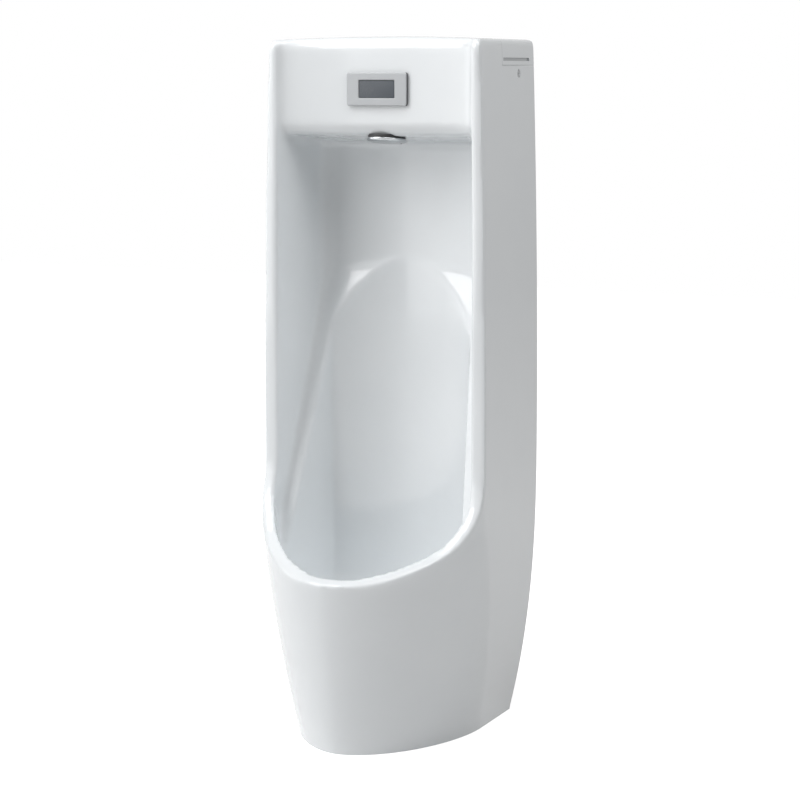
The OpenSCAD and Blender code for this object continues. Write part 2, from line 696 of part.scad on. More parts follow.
// Radius of the circle of the bonnet's screws
bonnet_pitch_r = valve_d / 2 - 2.4;
module on_valve(z) translate([0, valve_y, z]) children();
module valve_body() color(brass) difference() {
    union() {
        on_valve(valve_low) cylinder(d = valve_d, h = valve_h);
        on_valve(water_z) rotate([90, 0, 0]) cylinder(d = port_d, h = port_len);
        on_valve(water_z) rotate([0, -90, 0]) cylinder(d = port_d, h = port_len);
    }
    on_valve(water_z) rotate([90, 0, 0]) cylinder(d = bore_d, h = port_len + eps);
    on_valve(water_z) translate([0, -port_len + 8, 0]) rotate([90, 0, 0])
        cylinder(d = pipe_d + 2 * fit_gap, h = 8 + eps);
    on_valve(water_z) rotate([0, -90, 0]) cylinder(d = bore_d, h = port_len + eps);
    on_valve(water_z) cylinder(d = chamber_d - 8, h = valve_h);
    on_valve(valve_top - 3) cylinder(d = chamber_d + 2 * fit_gap, h = 3 + eps);
    for (a = [45:90:315]) on_valve(valve_top - 10) rotate([0, 0, a])
        translate([bonnet_pitch_r, 0, 0]) cylinder(d = 2, h = 10 + eps);
}
module diaphragm() color(black) on_valve(valve_top - 3) difference() {
    cylinder(d = chamber_d, h = 3);
    translate([0, 0, 1.5]) cylinder(d = plunger_d - 3, h = 3);
}
bonnet_h = 7;
sleeve_d = plunger_d + 4;
plunger_low = valve_top + 0.4;
coil_low = valve_top + bonnet_h + 2.4;
coil_top = coil_low + coil_h;
sleeve_top = coil_top + 3.5;
plunger_room = sleeve_top - 2 - plunger_low;
module valve_bonnet() color(steel) difference() {
    union() {
        on_valve(valve_top) cylinder(d = valve_d, h = bonnet_h);
        on_valve(valve_top) cylinder(d = sleeve_d, h = sleeve_top - valve_top);
    }
    on_valve(valve_top - eps) cylinder(d = plunger_d + 2 * running_gap, h = plunger_room + 0.4 + eps);
    for (a = [45:90:315]) on_valve(valve_top - eps) rotate([0, 0, a])
        translate([bonnet_pitch_r, 0, 0]) cylinder(d = 2.8, h = bonnet_h + 2 * eps);
}
module bonnet_screws() color(steel) for (a = [45:90:315]) on_valve(valve_top) rotate([0, 0, a])
    translate([bonnet_pitch_r, 0, 0]) {
        translate([0, 0, bonnet_h]) cylinder(d = 4.6, h = 2);
        translate([0, 0, -8]) cylinder(d = 1.8, h = bonnet_h + 8 + eps / 2);
    }
module solenoid_coil() color(black) on_valve(coil_low) difference() {
    union() {
        cylinder(d = coil_d, h = coil_h);
        block([0, coil_d / 2 + 5], [-6, 6], [coil_h / 2 - 6, coil_h / 2 + 6]);
    }
    translate([0, 0, -eps]) cylinder(d = sleeve_d + 2 * fit_gap, h = coil_h + 2 * eps);
}
module coil_nut() color(steel) on_valve(coil_top) hex_nut(18, sleeve_d + 2 * fit_gap, 3);
module plunger() color("gray") on_valve(plunger_low) difference() {
    cylinder(d = plunger_d, h = plunger_len);
    translate([0, 0, plunger_len - 6]) cylinder(d = plunger_d - 3, h = 6 + eps);
}
spring_wire = 0.6;
spring_r = plunger_d / 2 - 2.2;
spring_turns = 6;
spring_low = plunger_low + plunger_len - 6;
spring_len = plunger_room - plunger_len + 6;
spring_sides = 6;
// An unbroken coil, swept as one tube
module plunger_spring() color(steel) on_valve(spring_low) {
    n = spring_turns * 10;
    pitch_rise = (spring_len - 2 * spring_wire) / n;
    rings = [for (k = [0:n]) let (a = 36 * k) [for (s = [0:spring_sides - 1])
        let (b = 360 / spring_sides * s, r = spring_r + spring_wire / 2 * cos(b))
        [r * cos(a), r * sin(a), spring_wire + k * pitch_rise + spring_wire / 2 * sin(b)]]];
    polyhedron(
        points = [for (r = rings) each r],
        faces = concat([[for (s = [0:spring_sides - 1]) s]],
            [[for (s = [spring_sides - 1:-1:0]) n * spring_sides + s]],
            [for (k = [0:n - 1], s = [0:spring_sides - 1])
                let (a = k * spring_sides + s, b = k * spring_sides + (s + 1) % spring_sides)
                each [[a, a + spring_sides, b + spring_sides], [a, b + spring_sides, b]]]));
}

stop_x = -stop_side;
stop_h = 38;
stop_low = water_z - stop_h / 2;
module on_stop(z) translate([stop_x, valve_y, z]) children();
stop_port_end = -port_len - 3;
// The hexagon that holds the stop valve while the inlet is screwed on
inlet_af = inlet_d + 5;
inlet_shoulder = stop_d / 2 + 8;
module inlet_nut() color(brass) translate([stop_port_end - 6, valve_y, water_z]) rotate([0, 90, 0])
    difference() {
        cylinder(d = union_af / cos(30), h = union_len, $fn = 6);
        translate([0, 0, -eps]) cylinder(d = port_d - 6 + 2 * fit_gap, h = union_len + 2 * eps);
        translate([0, 0, 4]) cylinder(d = port_d + 2 * fit_gap, h = union_len);
    }
module stop_valve_body() color(brass) difference() {
    union() {
        on_stop(stop_low) cylinder(d = stop_d, h = stop_h);
        on_stop(water_z) rotate([0, 90, 0]) cylinder(d = port_d - 6, h = stop_port_end - stop_x + 2.5);
        on_stop(water_z) rotate([-90, 0, 0]) cylinder(d = inlet_d, h = wall_y - valve_y);
        on_stop(water_z) rotate([-90, 0, 0])
            cylinder(d = inlet_af / cos(30), h = inlet_shoulder, $fn = 6);
    }
    on_stop(water_z) rotate([0, 90, 0]) cylinder(d = bore_d, h = stop_port_end - stop_x + 4);
    on_stop(water_z) rotate([-90, 0, 0]) cylinder(d = bore_d, h = wall_y - valve_y + eps);
    on_stop(water_z - 9) cylinder(d = spindle_d + 6 + 2 * running_gap, h = 18);
    on_stop(water_z) cylinder(d = spindle_d + 2 * running_gap, h = stop_h);
}
// A ball with a bore, on a spindle with a screwdriver slot
module stop_spindle() color(steel) difference() {
    union() {
        on_stop(water_z - 8.6) cylinder(d = spindle_d + 6, h = 17.2);
        on_stop(water_z) cylinder(d = spindle_d, h = stop_h / 2 + 9);
    }
    on_stop(water_z) rotate([0, 90, 0]) cylinder(d = bore_d - 4, h = spindle_d + 8, center = true);
    on_stop(water_z + stop_h / 2 + 6.5) cube([spindle_d + 2, 1.4, 6], center = true);
}
module spindle_nut() color(brass) on_stop(stop_low + stop_h)
    hex_nut(16, spindle_d + 2 * running_gap, 5);

box_y = panel_back + box_in;
box_z = water_z + 2;
function china_top_at(y) = ceiling_at(y) + china_t / cos(ceiling_slope) + 0.05;
// A folded sheet whose side cheeks stand on the sloping china over the niche
module box_bracket() color(steel) union() {
    block([box_x, box_x + box_w], [box_y, box_y + box_d], [box_z - sheet_t, box_z]);
    for (x = [box_x, box_x + box_w - sheet_t]) translate([x + sheet_t / 2, 0, 0])
        across(sheet_t) polygon([
            [box_y, box_z], [box_y, china_top_at(box_y)],
            [box_y + box_d - 6, china_top_at(box_y + box_d - 6)], [box_y + box_d, box_z]]);
}
cover_z = box_z + box_h;
module control_box() color(resin) difference() {
    block([box_x, box_x + box_w], [box_y, box_y + box_d], [box_z, cover_z]);
    block([box_x + shell_t, box_x + box_w - shell_t], [box_y + shell_t, box_y + box_d - shell_t],
        [box_z + shell_t, cover_z + eps]);
}
module box_cover() color(resin) difference() {
    union() {
        block([box_x - 0.5, box_x + box_w + 0.5], [box_y - 0.5, box_y + box_d + 0.5],
            [cover_z + seat_gap, cover_z + seat_gap + cover_t]);
        block([box_x + shell_t + seat_gap, box_x + box_w - shell_t - seat_gap],
            [box_y + shell_t + seat_gap, box_y + box_d - shell_t - seat_gap],
            [cover_z + seat_gap - 3, cover_z + seat_gap + eps]);
    }
    block([box_x + 2 * shell_t + seat_gap, box_x + box_w - 2 * shell_t - seat_gap],
        [box_y + 2 * shell_t + seat_gap, box_y + box_d - 2 * shell_t - seat_gap],
        [cover_z + seat_gap - 3 - eps, cover_z + seat_gap]);
    // Two finger dents
    for (y = [-1, 1]) translate([box_x + box_w / 2, box_y + box_d / 2 + y * 18,
        cover_z + seat_gap + cover_t]) cube([24, 5, 2], center = true);
}
cells_x = box_x + shell_t + 2;
module batteries() color("royalblue") for (k = [0:cell_n - 1])
    translate([cells_x, box_y + box_d - shell_t - 3 - cell_d / 2 - (k % 2) * (cell_d + 0.6),
        box_z + shell_t + cell_d / 2 + floor(k / 2) * (cell_d + 0.6)]) rotate([0, 90, 0]) {
        cylinder(d = cell_d, h = cell_len - 1.5);
        translate([0, 0, cell_len - 1.5]) cylinder(d = 5.5, h = 1.5);
    }
module control_board() color("darkgreen") union() {
    block([box_x + shell_t + 4, box_x + box_w - shell_t - 4],
        [box_y + shell_t + 6, box_y + shell_t + 7.6], [box_z + shell_t, cover_z - 8]);
    for (k = [0:2]) block([box_x + 14 + 22 * k, box_x + 26 + 22 * k],
        [box_y + shell_t + 7.4, box_y + shell_t + 11], [box_z + 12 + 6 * k, box_z + 22 + 6 * k]);
}
// A lead of straight runs and one round bend, clipped between two housings
lead_bend_r = 8;
sensor_lead_x = housing_w / 2 - 8;
sensor_lead_z = sensor_z + 12.6;
sensor_lead_y = box_y + 14;
module sensor_lead() color(black) translate([0, 0, sensor_lead_z]) {
    translate([sensor_lead_x, housing_back, 0]) rotate([-90, 0, 0])
        cylinder(d = lead_d, h = sensor_lead_y - lead_bend_r - housing_back);
    translate([sensor_lead_x + lead_bend_r, sensor_lead_y - lead_bend_r, 0])
        rotate([0, 0, 90]) rotate_extrude(angle = 90) translate([lead_bend_r, 0]) circle(d = lead_d, $fn = 24);
    translate([sensor_lead_x + lead_bend_r, sensor_lead_y, 0]) rotate([0, 90, 0])
        cylinder(d = lead_d, h = box_x - sensor_lead_x - lead_bend_r);
}
module valve_lead() color(black)
    translate([coil_d / 2 + 5, valve_y, coil_low + coil_h / 2])
        rotate([0, 90, 0]) cylinder(d = lead_d, h = box_x - coil_d / 2 - 5);

seat_z = bowl_z;
shoulder_z = bowl_z - 22;
cup_bore = socket_d - 2 * socket_t;
step_bore = cup_bore - 8;
bell_d = outlet_d + 10;
bell_len = 30;
module on_drain(z) translate([0, drain_y, z]) children();
module drain_socket() color(black) difference() {
    union() {
        on_drain(seat_z - flange_t) cylinder(d = flange_d, h = flange_t);
        on_drain(socket_z) cylinder(d = socket_d, h = seat_z - socket_z);
        on_drain(outlet_z) rotate([-90, 0, 0]) cylinder(d = bell_d, h = socket_d / 2 + bell_len);
    }
    on_drain(shoulder_z) cylinder(d = cup_bore, h = seat_z - shoulder_z + eps);
    on_drain(socket_z + socket_t) cylinder(d = step_bore, h = seat_z - socket_z);
    on_drain(outlet_z) rotate([-90, 0, 0])
        cylinder(d = outlet_d - 2 * outlet_t, h = socket_d / 2 + bell_len + eps);
    on_drain(outlet_z) translate([0, socket_d / 2 + 4, 0]) rotate([-90, 0, 0])
        cylinder(d = outlet_d + 2 * fit_gap, h = bell_len);
    on_drain(outlet_z) translate([0, socket_d / 2 + bell_len - 10, 0]) rotate([-90, 0, 0])
        cylinder(d = outlet_d + 6, h = 5);
}
module socket_gasket() color(black) on_drain(bowl_z - rebate_t)
    tube(flange_d - 2, socket_d + 2 * fit_gap, gasket_t);
module socket_nut() color(black) on_drain(bowl_z - china_t - 9) difference() {
    cylinder(d = socket_d + 22, h = 9);
    translate([0, 0, -eps]) cylinder(d = socket_d + 2 * fit_gap, h = 9 + 2 * eps);
    for (a = [0:30:330]) rotate([0, 0, a]) translate([socket_d / 2 + 12, 0, -eps])
        cylinder(d = 6, h = 9 + 2 * eps, $fn = 24);
}
cup_flange_t = 5;
dip_z = socket_z + socket_t + 10;
seal_d = 3;
module trap_cup() color(resin) difference() {
    union() {
        on_drain(shoulder_z + seat_gap) cylinder(d = cup_bore - 2 * fit_gap, h = cup_flange_t);
        on_drain(dip_z) cylinder(d = dip_d, h = shoulder_z + seat_gap + cup_flange_t - dip_z);
        on_drain(shoulder_z - 7) cylinder(d = step_bore - 2 * fit_gap, h = 8);
    }
    on_drain(socket_z) cylinder(d = dip_d - 4, h = seat_z);
    on_drain(shoulder_z - 5) rotate_extrude() translate([step_bore / 2 - fit_gap, 0])
        square([seal_d, seal_d], center = true);
    // Windows that let the annulus breathe and give a grip
    for (a = [0:90:270]) rotate_about_drain(a) on_drain(shoulder_z + cup_flange_t - 1)
        translate([dip_d / 2 + 5, 0, 0]) cylinder(d = 5, h = 4);
}
module rotate_about_drain(a) translate([0, drain_y, 0]) rotate([0, 0, a])
    translate([0, -drain_y, 0]) children();
module trap_seal() color(black) on_drain(shoulder_z - 5) rotate_extrude()
    translate([step_bore / 2 - fit_gap - seal_d / 4, 0]) circle(d = seal_d / 2, $fn = 24);
strainer_t = 4;
dome_r = strainer_d / 2 - 28;
module drain_strainer() color(resin) difference() {
    union() {
        on_drain(seat_z + seat_gap) rotate_extrude() polygon([[0, 0], [strainer_d / 2, 0],
            [strainer_d / 2, 2], [strainer_d / 2 - 6, strainer_t], [dome_r, strainer_t + 4],
            [0, strainer_t + 5]]);
        on_drain(seat_z - 9) tube(cup_bore - 2 * seat_gap, cup_bore - 2 * seat_gap - 5, 10);
    }
    on_drain(seat_z - eps) rotate_extrude() polygon([[0, 0], [cup_bore / 2 - 4, 0],
        [dome_r, strainer_t + 2], [0, strainer_t + 3]]);
    for (k = [0:slot_n - 1]) rotate_about_drain(360 / slot_n * k) on_drain(seat_z - 2)
        translate([dome_r - 2, -1.8, 0]) cube([14, 3.6, 16]);
}
pipe_in = 12;
module drain_pipe() color("lightgray") translate([0, drain_y + socket_d / 2 + pipe_in, outlet_z])
    rotate([-90, 0, 0]) tube(outlet_d, outlet_d - 2 * outlet_t,
        wall_y - drain_y - socket_d / 2 - pipe_in);
module pipe_seal() color(black)
    translate([0, drain_y + socket_d / 2 + bell_len - 9.5, outlet_z]) rotate([-90, 0, 0])
        tube(outlet_d + 5, outlet_d + 2 * fit_gap, 4);
wall_flange_t = 4;
flange_seal_t = 4;
module wall_flange() color(steel) translate([0, wall_y - flange_seal_t - wall_flange_t, outlet_z])
    rotate([-90, 0, 0]) tube(outlet_d + 40, outlet_d + 2 * fit_gap, wall_flange_t);
module flange_seal() color(black) translate([0, wall_y - flange_seal_t, outlet_z])
    rotate([-90, 0, 0]) tube(outlet_d + 30, outlet_d + 2 * fit_gap, flange_seal_t);

ceramic_body();
top_lid();
lid_catch();
lid_lock();
lock_clip();
sensor_bezel();
sensor_window();
sensor_housing();
sensor_board();
ir_emitters();
clamp_strap();
clamp_screws();
spreader_head();
spreader_gasket();
spreader_washer();
spreader_nut();
spreader_elbow();
flush_pipe();
pipe_nut();
valve_body();
diaphragm();
valve_bonnet();
bonnet_screws();
solenoid_coil();
coil_nut();
plunger();
plunger_spring();
inlet_nut();
stop_valve_body();
stop_spindle();
spindle_nut();
box_bracket();
control_box();
box_cover();
batteries();
control_board();
sensor_lead();
valve_lead();
drain_strainer();
trap_cup();
trap_seal();
drain_socket();
socket_gasket();
socket_nut();
drain_pipe();
pipe_seal();
wall_flange();
flange_seal();
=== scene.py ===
"""A floor-standing sensor urinal in glazed china, dressed for rendering."""

import logging
from collections.abc import Iterable, Iterator, Sequence
from contextlib import contextmanager
from dataclasses import dataclass
from enum import Enum
from math import atan2, cos, pi, radians, sin, sqrt, tan, tau

import bpy
from mathutils import Matrix, Vector


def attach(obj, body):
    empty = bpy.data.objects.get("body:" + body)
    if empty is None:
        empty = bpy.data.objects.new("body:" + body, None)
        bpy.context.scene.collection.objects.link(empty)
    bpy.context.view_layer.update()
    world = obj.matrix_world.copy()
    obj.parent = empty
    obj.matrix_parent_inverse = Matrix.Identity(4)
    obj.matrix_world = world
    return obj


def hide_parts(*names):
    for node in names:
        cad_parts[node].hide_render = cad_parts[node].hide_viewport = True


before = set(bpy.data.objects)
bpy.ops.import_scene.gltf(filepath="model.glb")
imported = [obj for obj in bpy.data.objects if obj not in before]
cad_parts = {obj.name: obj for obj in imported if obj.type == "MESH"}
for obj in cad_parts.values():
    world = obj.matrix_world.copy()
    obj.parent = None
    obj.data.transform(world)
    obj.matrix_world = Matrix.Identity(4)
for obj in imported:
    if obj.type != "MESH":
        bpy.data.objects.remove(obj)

LOG = logging.getLogger("urinal")
MM = 0.001
ASIDE = 200.0  # millimetres from the middle, beyond either side of the object
NOISE_SPAN = (0.3, 0.7)  # what a noise's values mostly lie between

Point = tuple[float, float, float]
Pair = tuple[float, float]
Ring = Sequence[Point]
Material = bpy.types.Material
Solid = bpy.types.Object


class Body(Enum):
    """The bodies that the pieces made here ride on."""

    CHINA = "china"
    LID = "lid"
    LOCK = "lock"
    STRAINER = "strainer"


def smooth_step(value: float) -> float:
    """Eases a value between 0 and 1, and holds what lies outside."""
    held = min(max(value, 0.0), 1.0)
    return held * held * (3 - 2 * held)


def steps(first: float, last: float, count: int) -> list[float]:
    """Divides a span evenly, without its first value and with its last."""
    return [first + (last - first) * k / count for k in range(1, count + 1)]


def quarter(count: int, first: int = 0) -> list[float]:
    """Divides a quarter turn evenly, in radians, from the step numbered first."""
    return [pi / 2 * k / count for k in range(first, count + 1)]


def arc(centre: Pair, radius: float, turns: Iterable[float]) -> list[Pair]:
    """Draws an arc; its turns run from the second axis towards the first, in radians."""
    x, y = centre
    return [(x + radius * sin(turn), y + radius * cos(turn)) for turn in turns]


def rounded_rectangle(width: float, height: float, radius: float, count: int = 7) -> list[Pair]:
    """Outlines a rectangle with round corners.

    Args:
        width: Its width.
        height: Its height.
        radius: The corners' radius.
        count: Steps to a corner.

    Returns:
        The points, in one turning sense.
    """
    points = []
    for corner, (sx, sy) in enumerate(((1, 1), (1, -1), (-1, -1), (-1, 1))):
        centre = (sx * (width / 2 - radius), sy * (height / 2 - radius))
        turns = [radians(90 * (corner + k / count)) for k in range(count + 1)]
        points += arc(centre, radius, turns)
    return points


# ---------------------------------------------------------------- shaders


class Socket:
    """A shader value that Python's operators turn into Math nodes."""

    def __init__(self, shader: "Shader", socket: bpy.types.NodeSocket) -> None:
        """Wraps a socket of a shader's tree."""
        self.shader = shader
        self.socket = socket

    def _math(self, operation: str, *values: "Socket | float") -> "Socket":
        """Adds a Math node with these inputs."""
        inputs = dict(enumerate(values))
        return self.shader.node("ShaderNodeMath", {"operation": operation}, inputs)[0]

    def __add__(self, other: "Socket | float") -> "Socket":
        """Adds."""
        return self._math("ADD", self, other)

    def __mul__(self, other: "Socket | float") -> "Socket":
        """Multiplies."""
        return self._math("MULTIPLY", self, other)

    def absolute(self) -> "Socket":
        """Gives the value without its sign."""
        return self._math("ABSOLUTE", self)

    def minimum(self, other: "Socket | float") -> "Socket":
        """Gives the lesser of two values."""
        return self._math("MINIMUM", self, other)

    def ramp(self, low: float, high: float, start: float, end: float) -> "Socket":
        """Maps low to start and high to end, and holds what lies outside."""
        inputs = {0: self, 1: low, 2: high, 3: start, 4: end}
        return self.shader.node("ShaderNodeMapRange", {"clamp": True}, inputs)[0]


class Shader:
    """The node tree of a material or a world."""

    def __init__(self, name: str, library: str = "materials") -> None:
        """Makes an empty tree.

        Args:
            name: The name of its owner.
            library: Where Blender keeps the owner, materials or worlds.
        """
        self.owner = getattr(bpy.data, library).new(name)
        self.owner.use_nodes = True
        self.tree = self.owner.node_tree
        self.tree.nodes.clear()

    def node(
        self,
        kind: str,
        settings: dict[str, object] | None = None,
        inputs: dict[int | str, object] | None = None,
    ) -> list[Socket]:
        """Adds any node.

        Args:
            kind: The node's type.
            settings: Its properties.
            inputs: Values or links, by the input's index or name.

        Returns:
            Its outputs.
        """
        made = self.tree.nodes.new(kind)
        for name, value in (settings or {}).items():
            setattr(made, name, value)
        for key, value in (inputs or {}).items():
            target = made.inputs[key]
            if isinstance(value, Socket):
                self.tree.links.new(value.socket, target)
            else:
                target.default_value = value
        return [Socket(self, output) for output in made.outputs]

    def place(self) -> Socket:
        """Gives the Object coordinates."""
        return self.node("ShaderNodeTexCoord")[3]

    def axes(self) -> list[Socket]:
        """Gives the Object coordinates along X, Y and Z."""
        return self.node("ShaderNodeSeparateXYZ", {}, {0: self.place()})

    def noise(self, scale: float, detail: float = 2.0, place: Socket | None = None) -> Socket:
        """Adds a noise around one half, with so many waves to the metre and finer layers."""
        inputs = {"Vector": place or self.place(), "Scale": scale, "Detail": detail}
        return self.node("ShaderNodeTexNoise", {}, inputs)[0]

    def blend(self, factor: Socket, low: Socket | Point, high: Socket | Point) -> Socket:
        """Mixes two colours; the factor says where the second one shows."""
        first, second = (c if isinstance(c, Socket) else (*c, 1) for c in (low, high))
        return self.node("ShaderNodeMix", {"data_type": "RGBA"}, {0: factor, 6: first, 7: second})[2]

    def bump(self, height: Socket, distance: float) -> Socket:
        """Turns a height of 0 to 1 into a normal; 1 stands for so many metres."""
        inputs = {"Strength": 1.0, "Distance": distance, "Height": height}
        return self.node("ShaderNodeBump", {}, inputs)[0]

    def principled(self, **inputs: object) -> Material:
        """Ends the tree in a Principled shader.

        Args:
            inputs: The shader's inputs, with underscores for blanks.

        Returns:
            The finished material.
        """
        named = {name.replace("_", " "): value for name, value in inputs.items()}
        shader = self.node("ShaderNodeBsdfPrincipled", {}, named)[0]
        self.node("ShaderNodeOutputMaterial", {}, {"Surface": shader})
        return self.owner


def darker(colour: Point, factor: float) -> Point:
    """Darkens a colour."""
    return tuple(channel * factor for channel in colour)


@dataclass(frozen=True)
class Glaze:
    """Fired white glaze: a deep even gloss with the faintest waviness."""

    name: str
    colour: Point = (0.832, 0.858, 0.874)
    tint: Point = (0.815, 0.842, 0.86)
    # painted shade: the colour that the lid's groove and seam lines are darkened towards
    seam_shade_colour: Point = (0.52, 0.54, 0.555)
    roughness: float = 0.14
    wave: float = 0.00012
    # where painted shade falls: the groove's half width, low and high edges, and the seam's front and
    # seat
    groove: Point | None = None
    seam: Pair | None = None

    def seam_shade(self, shader: Shader) -> Socket:
        """Gives the painted shade that darkens the lid's groove and the line of its seam.

        Args:
            shader: The material.

        Returns:
            The share of painted shade.
        """
        floor, low, high = (value * MM for value in self.groove)
        front, seat = (value * MM for value in self.seam)
        x, y, z = shader.axes()
        # painted shade in the groove's recess, just above the lid's lower edge and just behind its front
        # edge
        inside = x.absolute().ramp(floor + 0.0004, floor + 0.0016, 1.0, 0.0)
        between = z.ramp(low - 0.0002, low, 0.0, 1.0) * z.ramp(high, high + 0.0002, 1.0, 0.0)
        under = z.ramp(seat + 0.001, seat + 0.002, 0.55, 0.0)
        ahead = y.ramp(front + 0.0006, front + 0.0014, 0.5, 0.0)
        return (inside * between + (under + ahead)).minimum(1.0)

    def build(self) -> Material:
        """Builds the glaze.

        Returns:
            The material.
        """
        shader = Shader(self.name)
        cloud = shader.noise(9.0, 3.0)
        pores = shader.noise(620.0, 1.0).ramp(0.74, 0.8, 0.0, 1.0)
        tinted = (cloud.ramp(0.35, 0.65, 0.0, 0.8) + pores * 0.15).minimum(1.0)
        colour = shader.blend(tinted, self.colour, self.tint)
        # painted shade in the lid's groove and along its seam
        if self.groove:
            colour = shader.blend(self.seam_shade(shader), colour, self.seam_shade_colour)
        swell = shader.noise(24.0, 2.0)
        peel = shader.noise(160.0, 1.0)
        return shader.principled(
            Base_Color=colour,
            Roughness=cloud.ramp(*NOISE_SPAN, self.roughness - 0.03, self.roughness + 0.05),
            IOR=1.52,
            Coat_Weight=0.5,
            Coat_Roughness=0.04,
            Normal=shader.bump(swell * 0.8 + peel * 0.2, self.wave),
        )


@dataclass(frozen=True)
class Metal:
    """A plated, brushed or plain metal."""

    name: str
    colour: Point
    roughness: float
    grain: Point = (40.0, 40.0, 40.0)
    grain_depth: float = 0.00002
    variation: float = 0.06

    def build(self) -> Material:
        """Builds the metal.

        Returns:
            The material.
        """
        shader = Shader(self.name)
        stretched = shader.node("ShaderNodeMapping", {}, {0: shader.place(), 3: self.grain})[0]
        lines = shader.noise(22.0, 3.0, stretched)
        cloud = shader.noise(38.0, 2.0)
        smooth, rough = max(self.roughness - self.variation, 0.02), self.roughness + self.variation
        grime = lines.ramp(*NOISE_SPAN, 0.0, 0.6)
        return shader.principled(
            Base_Color=shader.blend(grime, self.colour, darker(self.colour, 0.86)),
            Metallic=1.0,
            Roughness=(cloud * 0.5 + lines * 0.5).ramp(*NOISE_SPAN, smooth, rough),
            Normal=shader.bump(lines, self.grain_depth),
        )


@dataclass(frozen=True)
class Moulded:
    """Injection-moulded plastic with a fine spark-eroded grain."""

    name: str
    colour: Point
    roughness: float = 0.42
    grain: float = 1400.0
    grain_depth: float = 0.00003
    coat: float = 0.0

    def build(self) -> Material:
        """Builds the plastic.

        Returns:
            The material.
        """
        shader = Shader(self.name)
        cloud = shader.noise(30.0, 2.0)
        fine = shader.noise(self.grain, 1.0)
        smooth, rough = self.roughness - 0.05, self.roughness + 0.08
        grime = cloud.ramp(*NOISE_SPAN, 0.0, 0.5)
        return shader.principled(
            Base_Color=shader.blend(grime, self.colour, darker(self.colour, 0.88)),
            Roughness=(cloud * 0.6 + fine * 0.4).ramp(*NOISE_SPAN, smooth, rough),
            Coat_Weight=self.coat,
            Coat_Roughness=0.05,
            Normal=shader.bump(fine, self.grain_depth),
        )


@dataclass(frozen=True)
class SatinPlate:
    """Satin silver paint on the sensor plate, with painted shade on the plate's narrow sides."""

    name: str
    front: float
    colour: Point = (0.5, 0.515, 0.53)
    # colour of the painted shade on the plate's narrow sides
    side_shade_colour: Point = (0.1, 0.104, 0.11)
    roughness: float = 0.42

    def build(self) -> Material:
        """Builds the paint.

        Returns:
            The material.
        """
        shader = Shader(self.name)
        # painted shade: the plate's narrow sides, behind its front face, are darkened in the colour
        side = shader.axes()[1].ramp((self.front + 0.9) * MM, (self.front + 1.3) * MM, 0.0, 1.0)
        flakes = shader.noise(2200.0, 1.0)
        cloud = shader.noise(46.0, 2.0)
        sparkle = (flakes * 0.6 + cloud * 0.4).ramp(*NOISE_SPAN, 0.0, 1.0)
        face = shader.blend(sparkle, self.colour, darker(self.colour, 0.93))
        return shader.principled(
            Base_Color=shader.blend(side, face, self.side_shade_colour),
            Metallic=0.2,
            Specular_IOR_Level=0.3,
            Roughness=cloud.ramp(*NOISE_SPAN, self.roughness - 0.03, self.roughness + 0.05),
            Normal=shader.bump(flakes, 0.000004),
        )


@dataclass(frozen=True)
class Rubber:
    """Black or grey rubber with a dusty bloom."""

    name: str
    colour: Point = (0.028, 0.028, 0.03)
    bloom: Point = (0.07, 0.07, 0.072)

    def build(self) -> Material:
        """Builds the rubber.

        Returns:
            The material.
        """
        shader = Shader(self.name)
        cloud = shader.noise(70.0, 4.0)
        fine = shader.noise(900.0, 2.0)
        return shader.principled(
            Base_Color=shader.blend(cloud.ramp(0.45, 0.75, 0.0, 0.7), self.colour, self.bloom),
            Roughness=cloud.ramp(*NOISE_SPAN, 0.55, 0.8),
            Normal=shader.bump(fine, 0.00004),
        )


@dataclass(frozen=True)
class CircuitBoard:
    """Green lacquer over a grid of copper tracks."""

    name: str
    lacquer: Point = (0.012, 0.12, 0.045)
    track: Point = (0.03, 0.2, 0.07)

    def build(self) -> Material:
        """Builds the board.

        Returns:
            The material.
        """
        shader = Shader(self.name)
        inputs = {"Vector": shader.place(), "Scale": 300.0, "Randomness": 0.3}
        cells = shader.node("ShaderNodeTexVoronoi", {"distance": "CHEBYCHEV"}, inputs)[0]
        tracks = cells.ramp(0.34, 0.4, 0.0, 1.0)
        return shader.principled(
            Base_Color=shader.blend(tracks, self.lacquer, self.track),
            Roughness=tracks.ramp(0.0, 1.0, 0.35, 0.22),
            Normal=shader.bump(tracks, 0.00004),
        )


@dataclass(frozen=True)
class CellWrap:
    """The printed sleeve of a battery: two bands along its length."""

    name: str
    body: Point = (0.02, 0.05, 0.16)
    band: Point = (0.62, 0.42, 0.12)
    split: float = 0.093

    def build(self) -> Material:
        """Builds the sleeve.

        Returns:
            The material.
        """
        shader = Shader(self.name)
        edge = shader.axes()[0].ramp(self.split - 0.0004, self.split + 0.0004, 0.0, 1.0)
        return shader.principled(
            Base_Color=shader.blend(edge, self.body, self.band),
            Roughness=shader.noise(60.0, 2.0).ramp(*NOISE_SPAN, 0.22, 0.34),
            Coat_Weight=0.4,
            Coat_Roughness=0.08,
        )


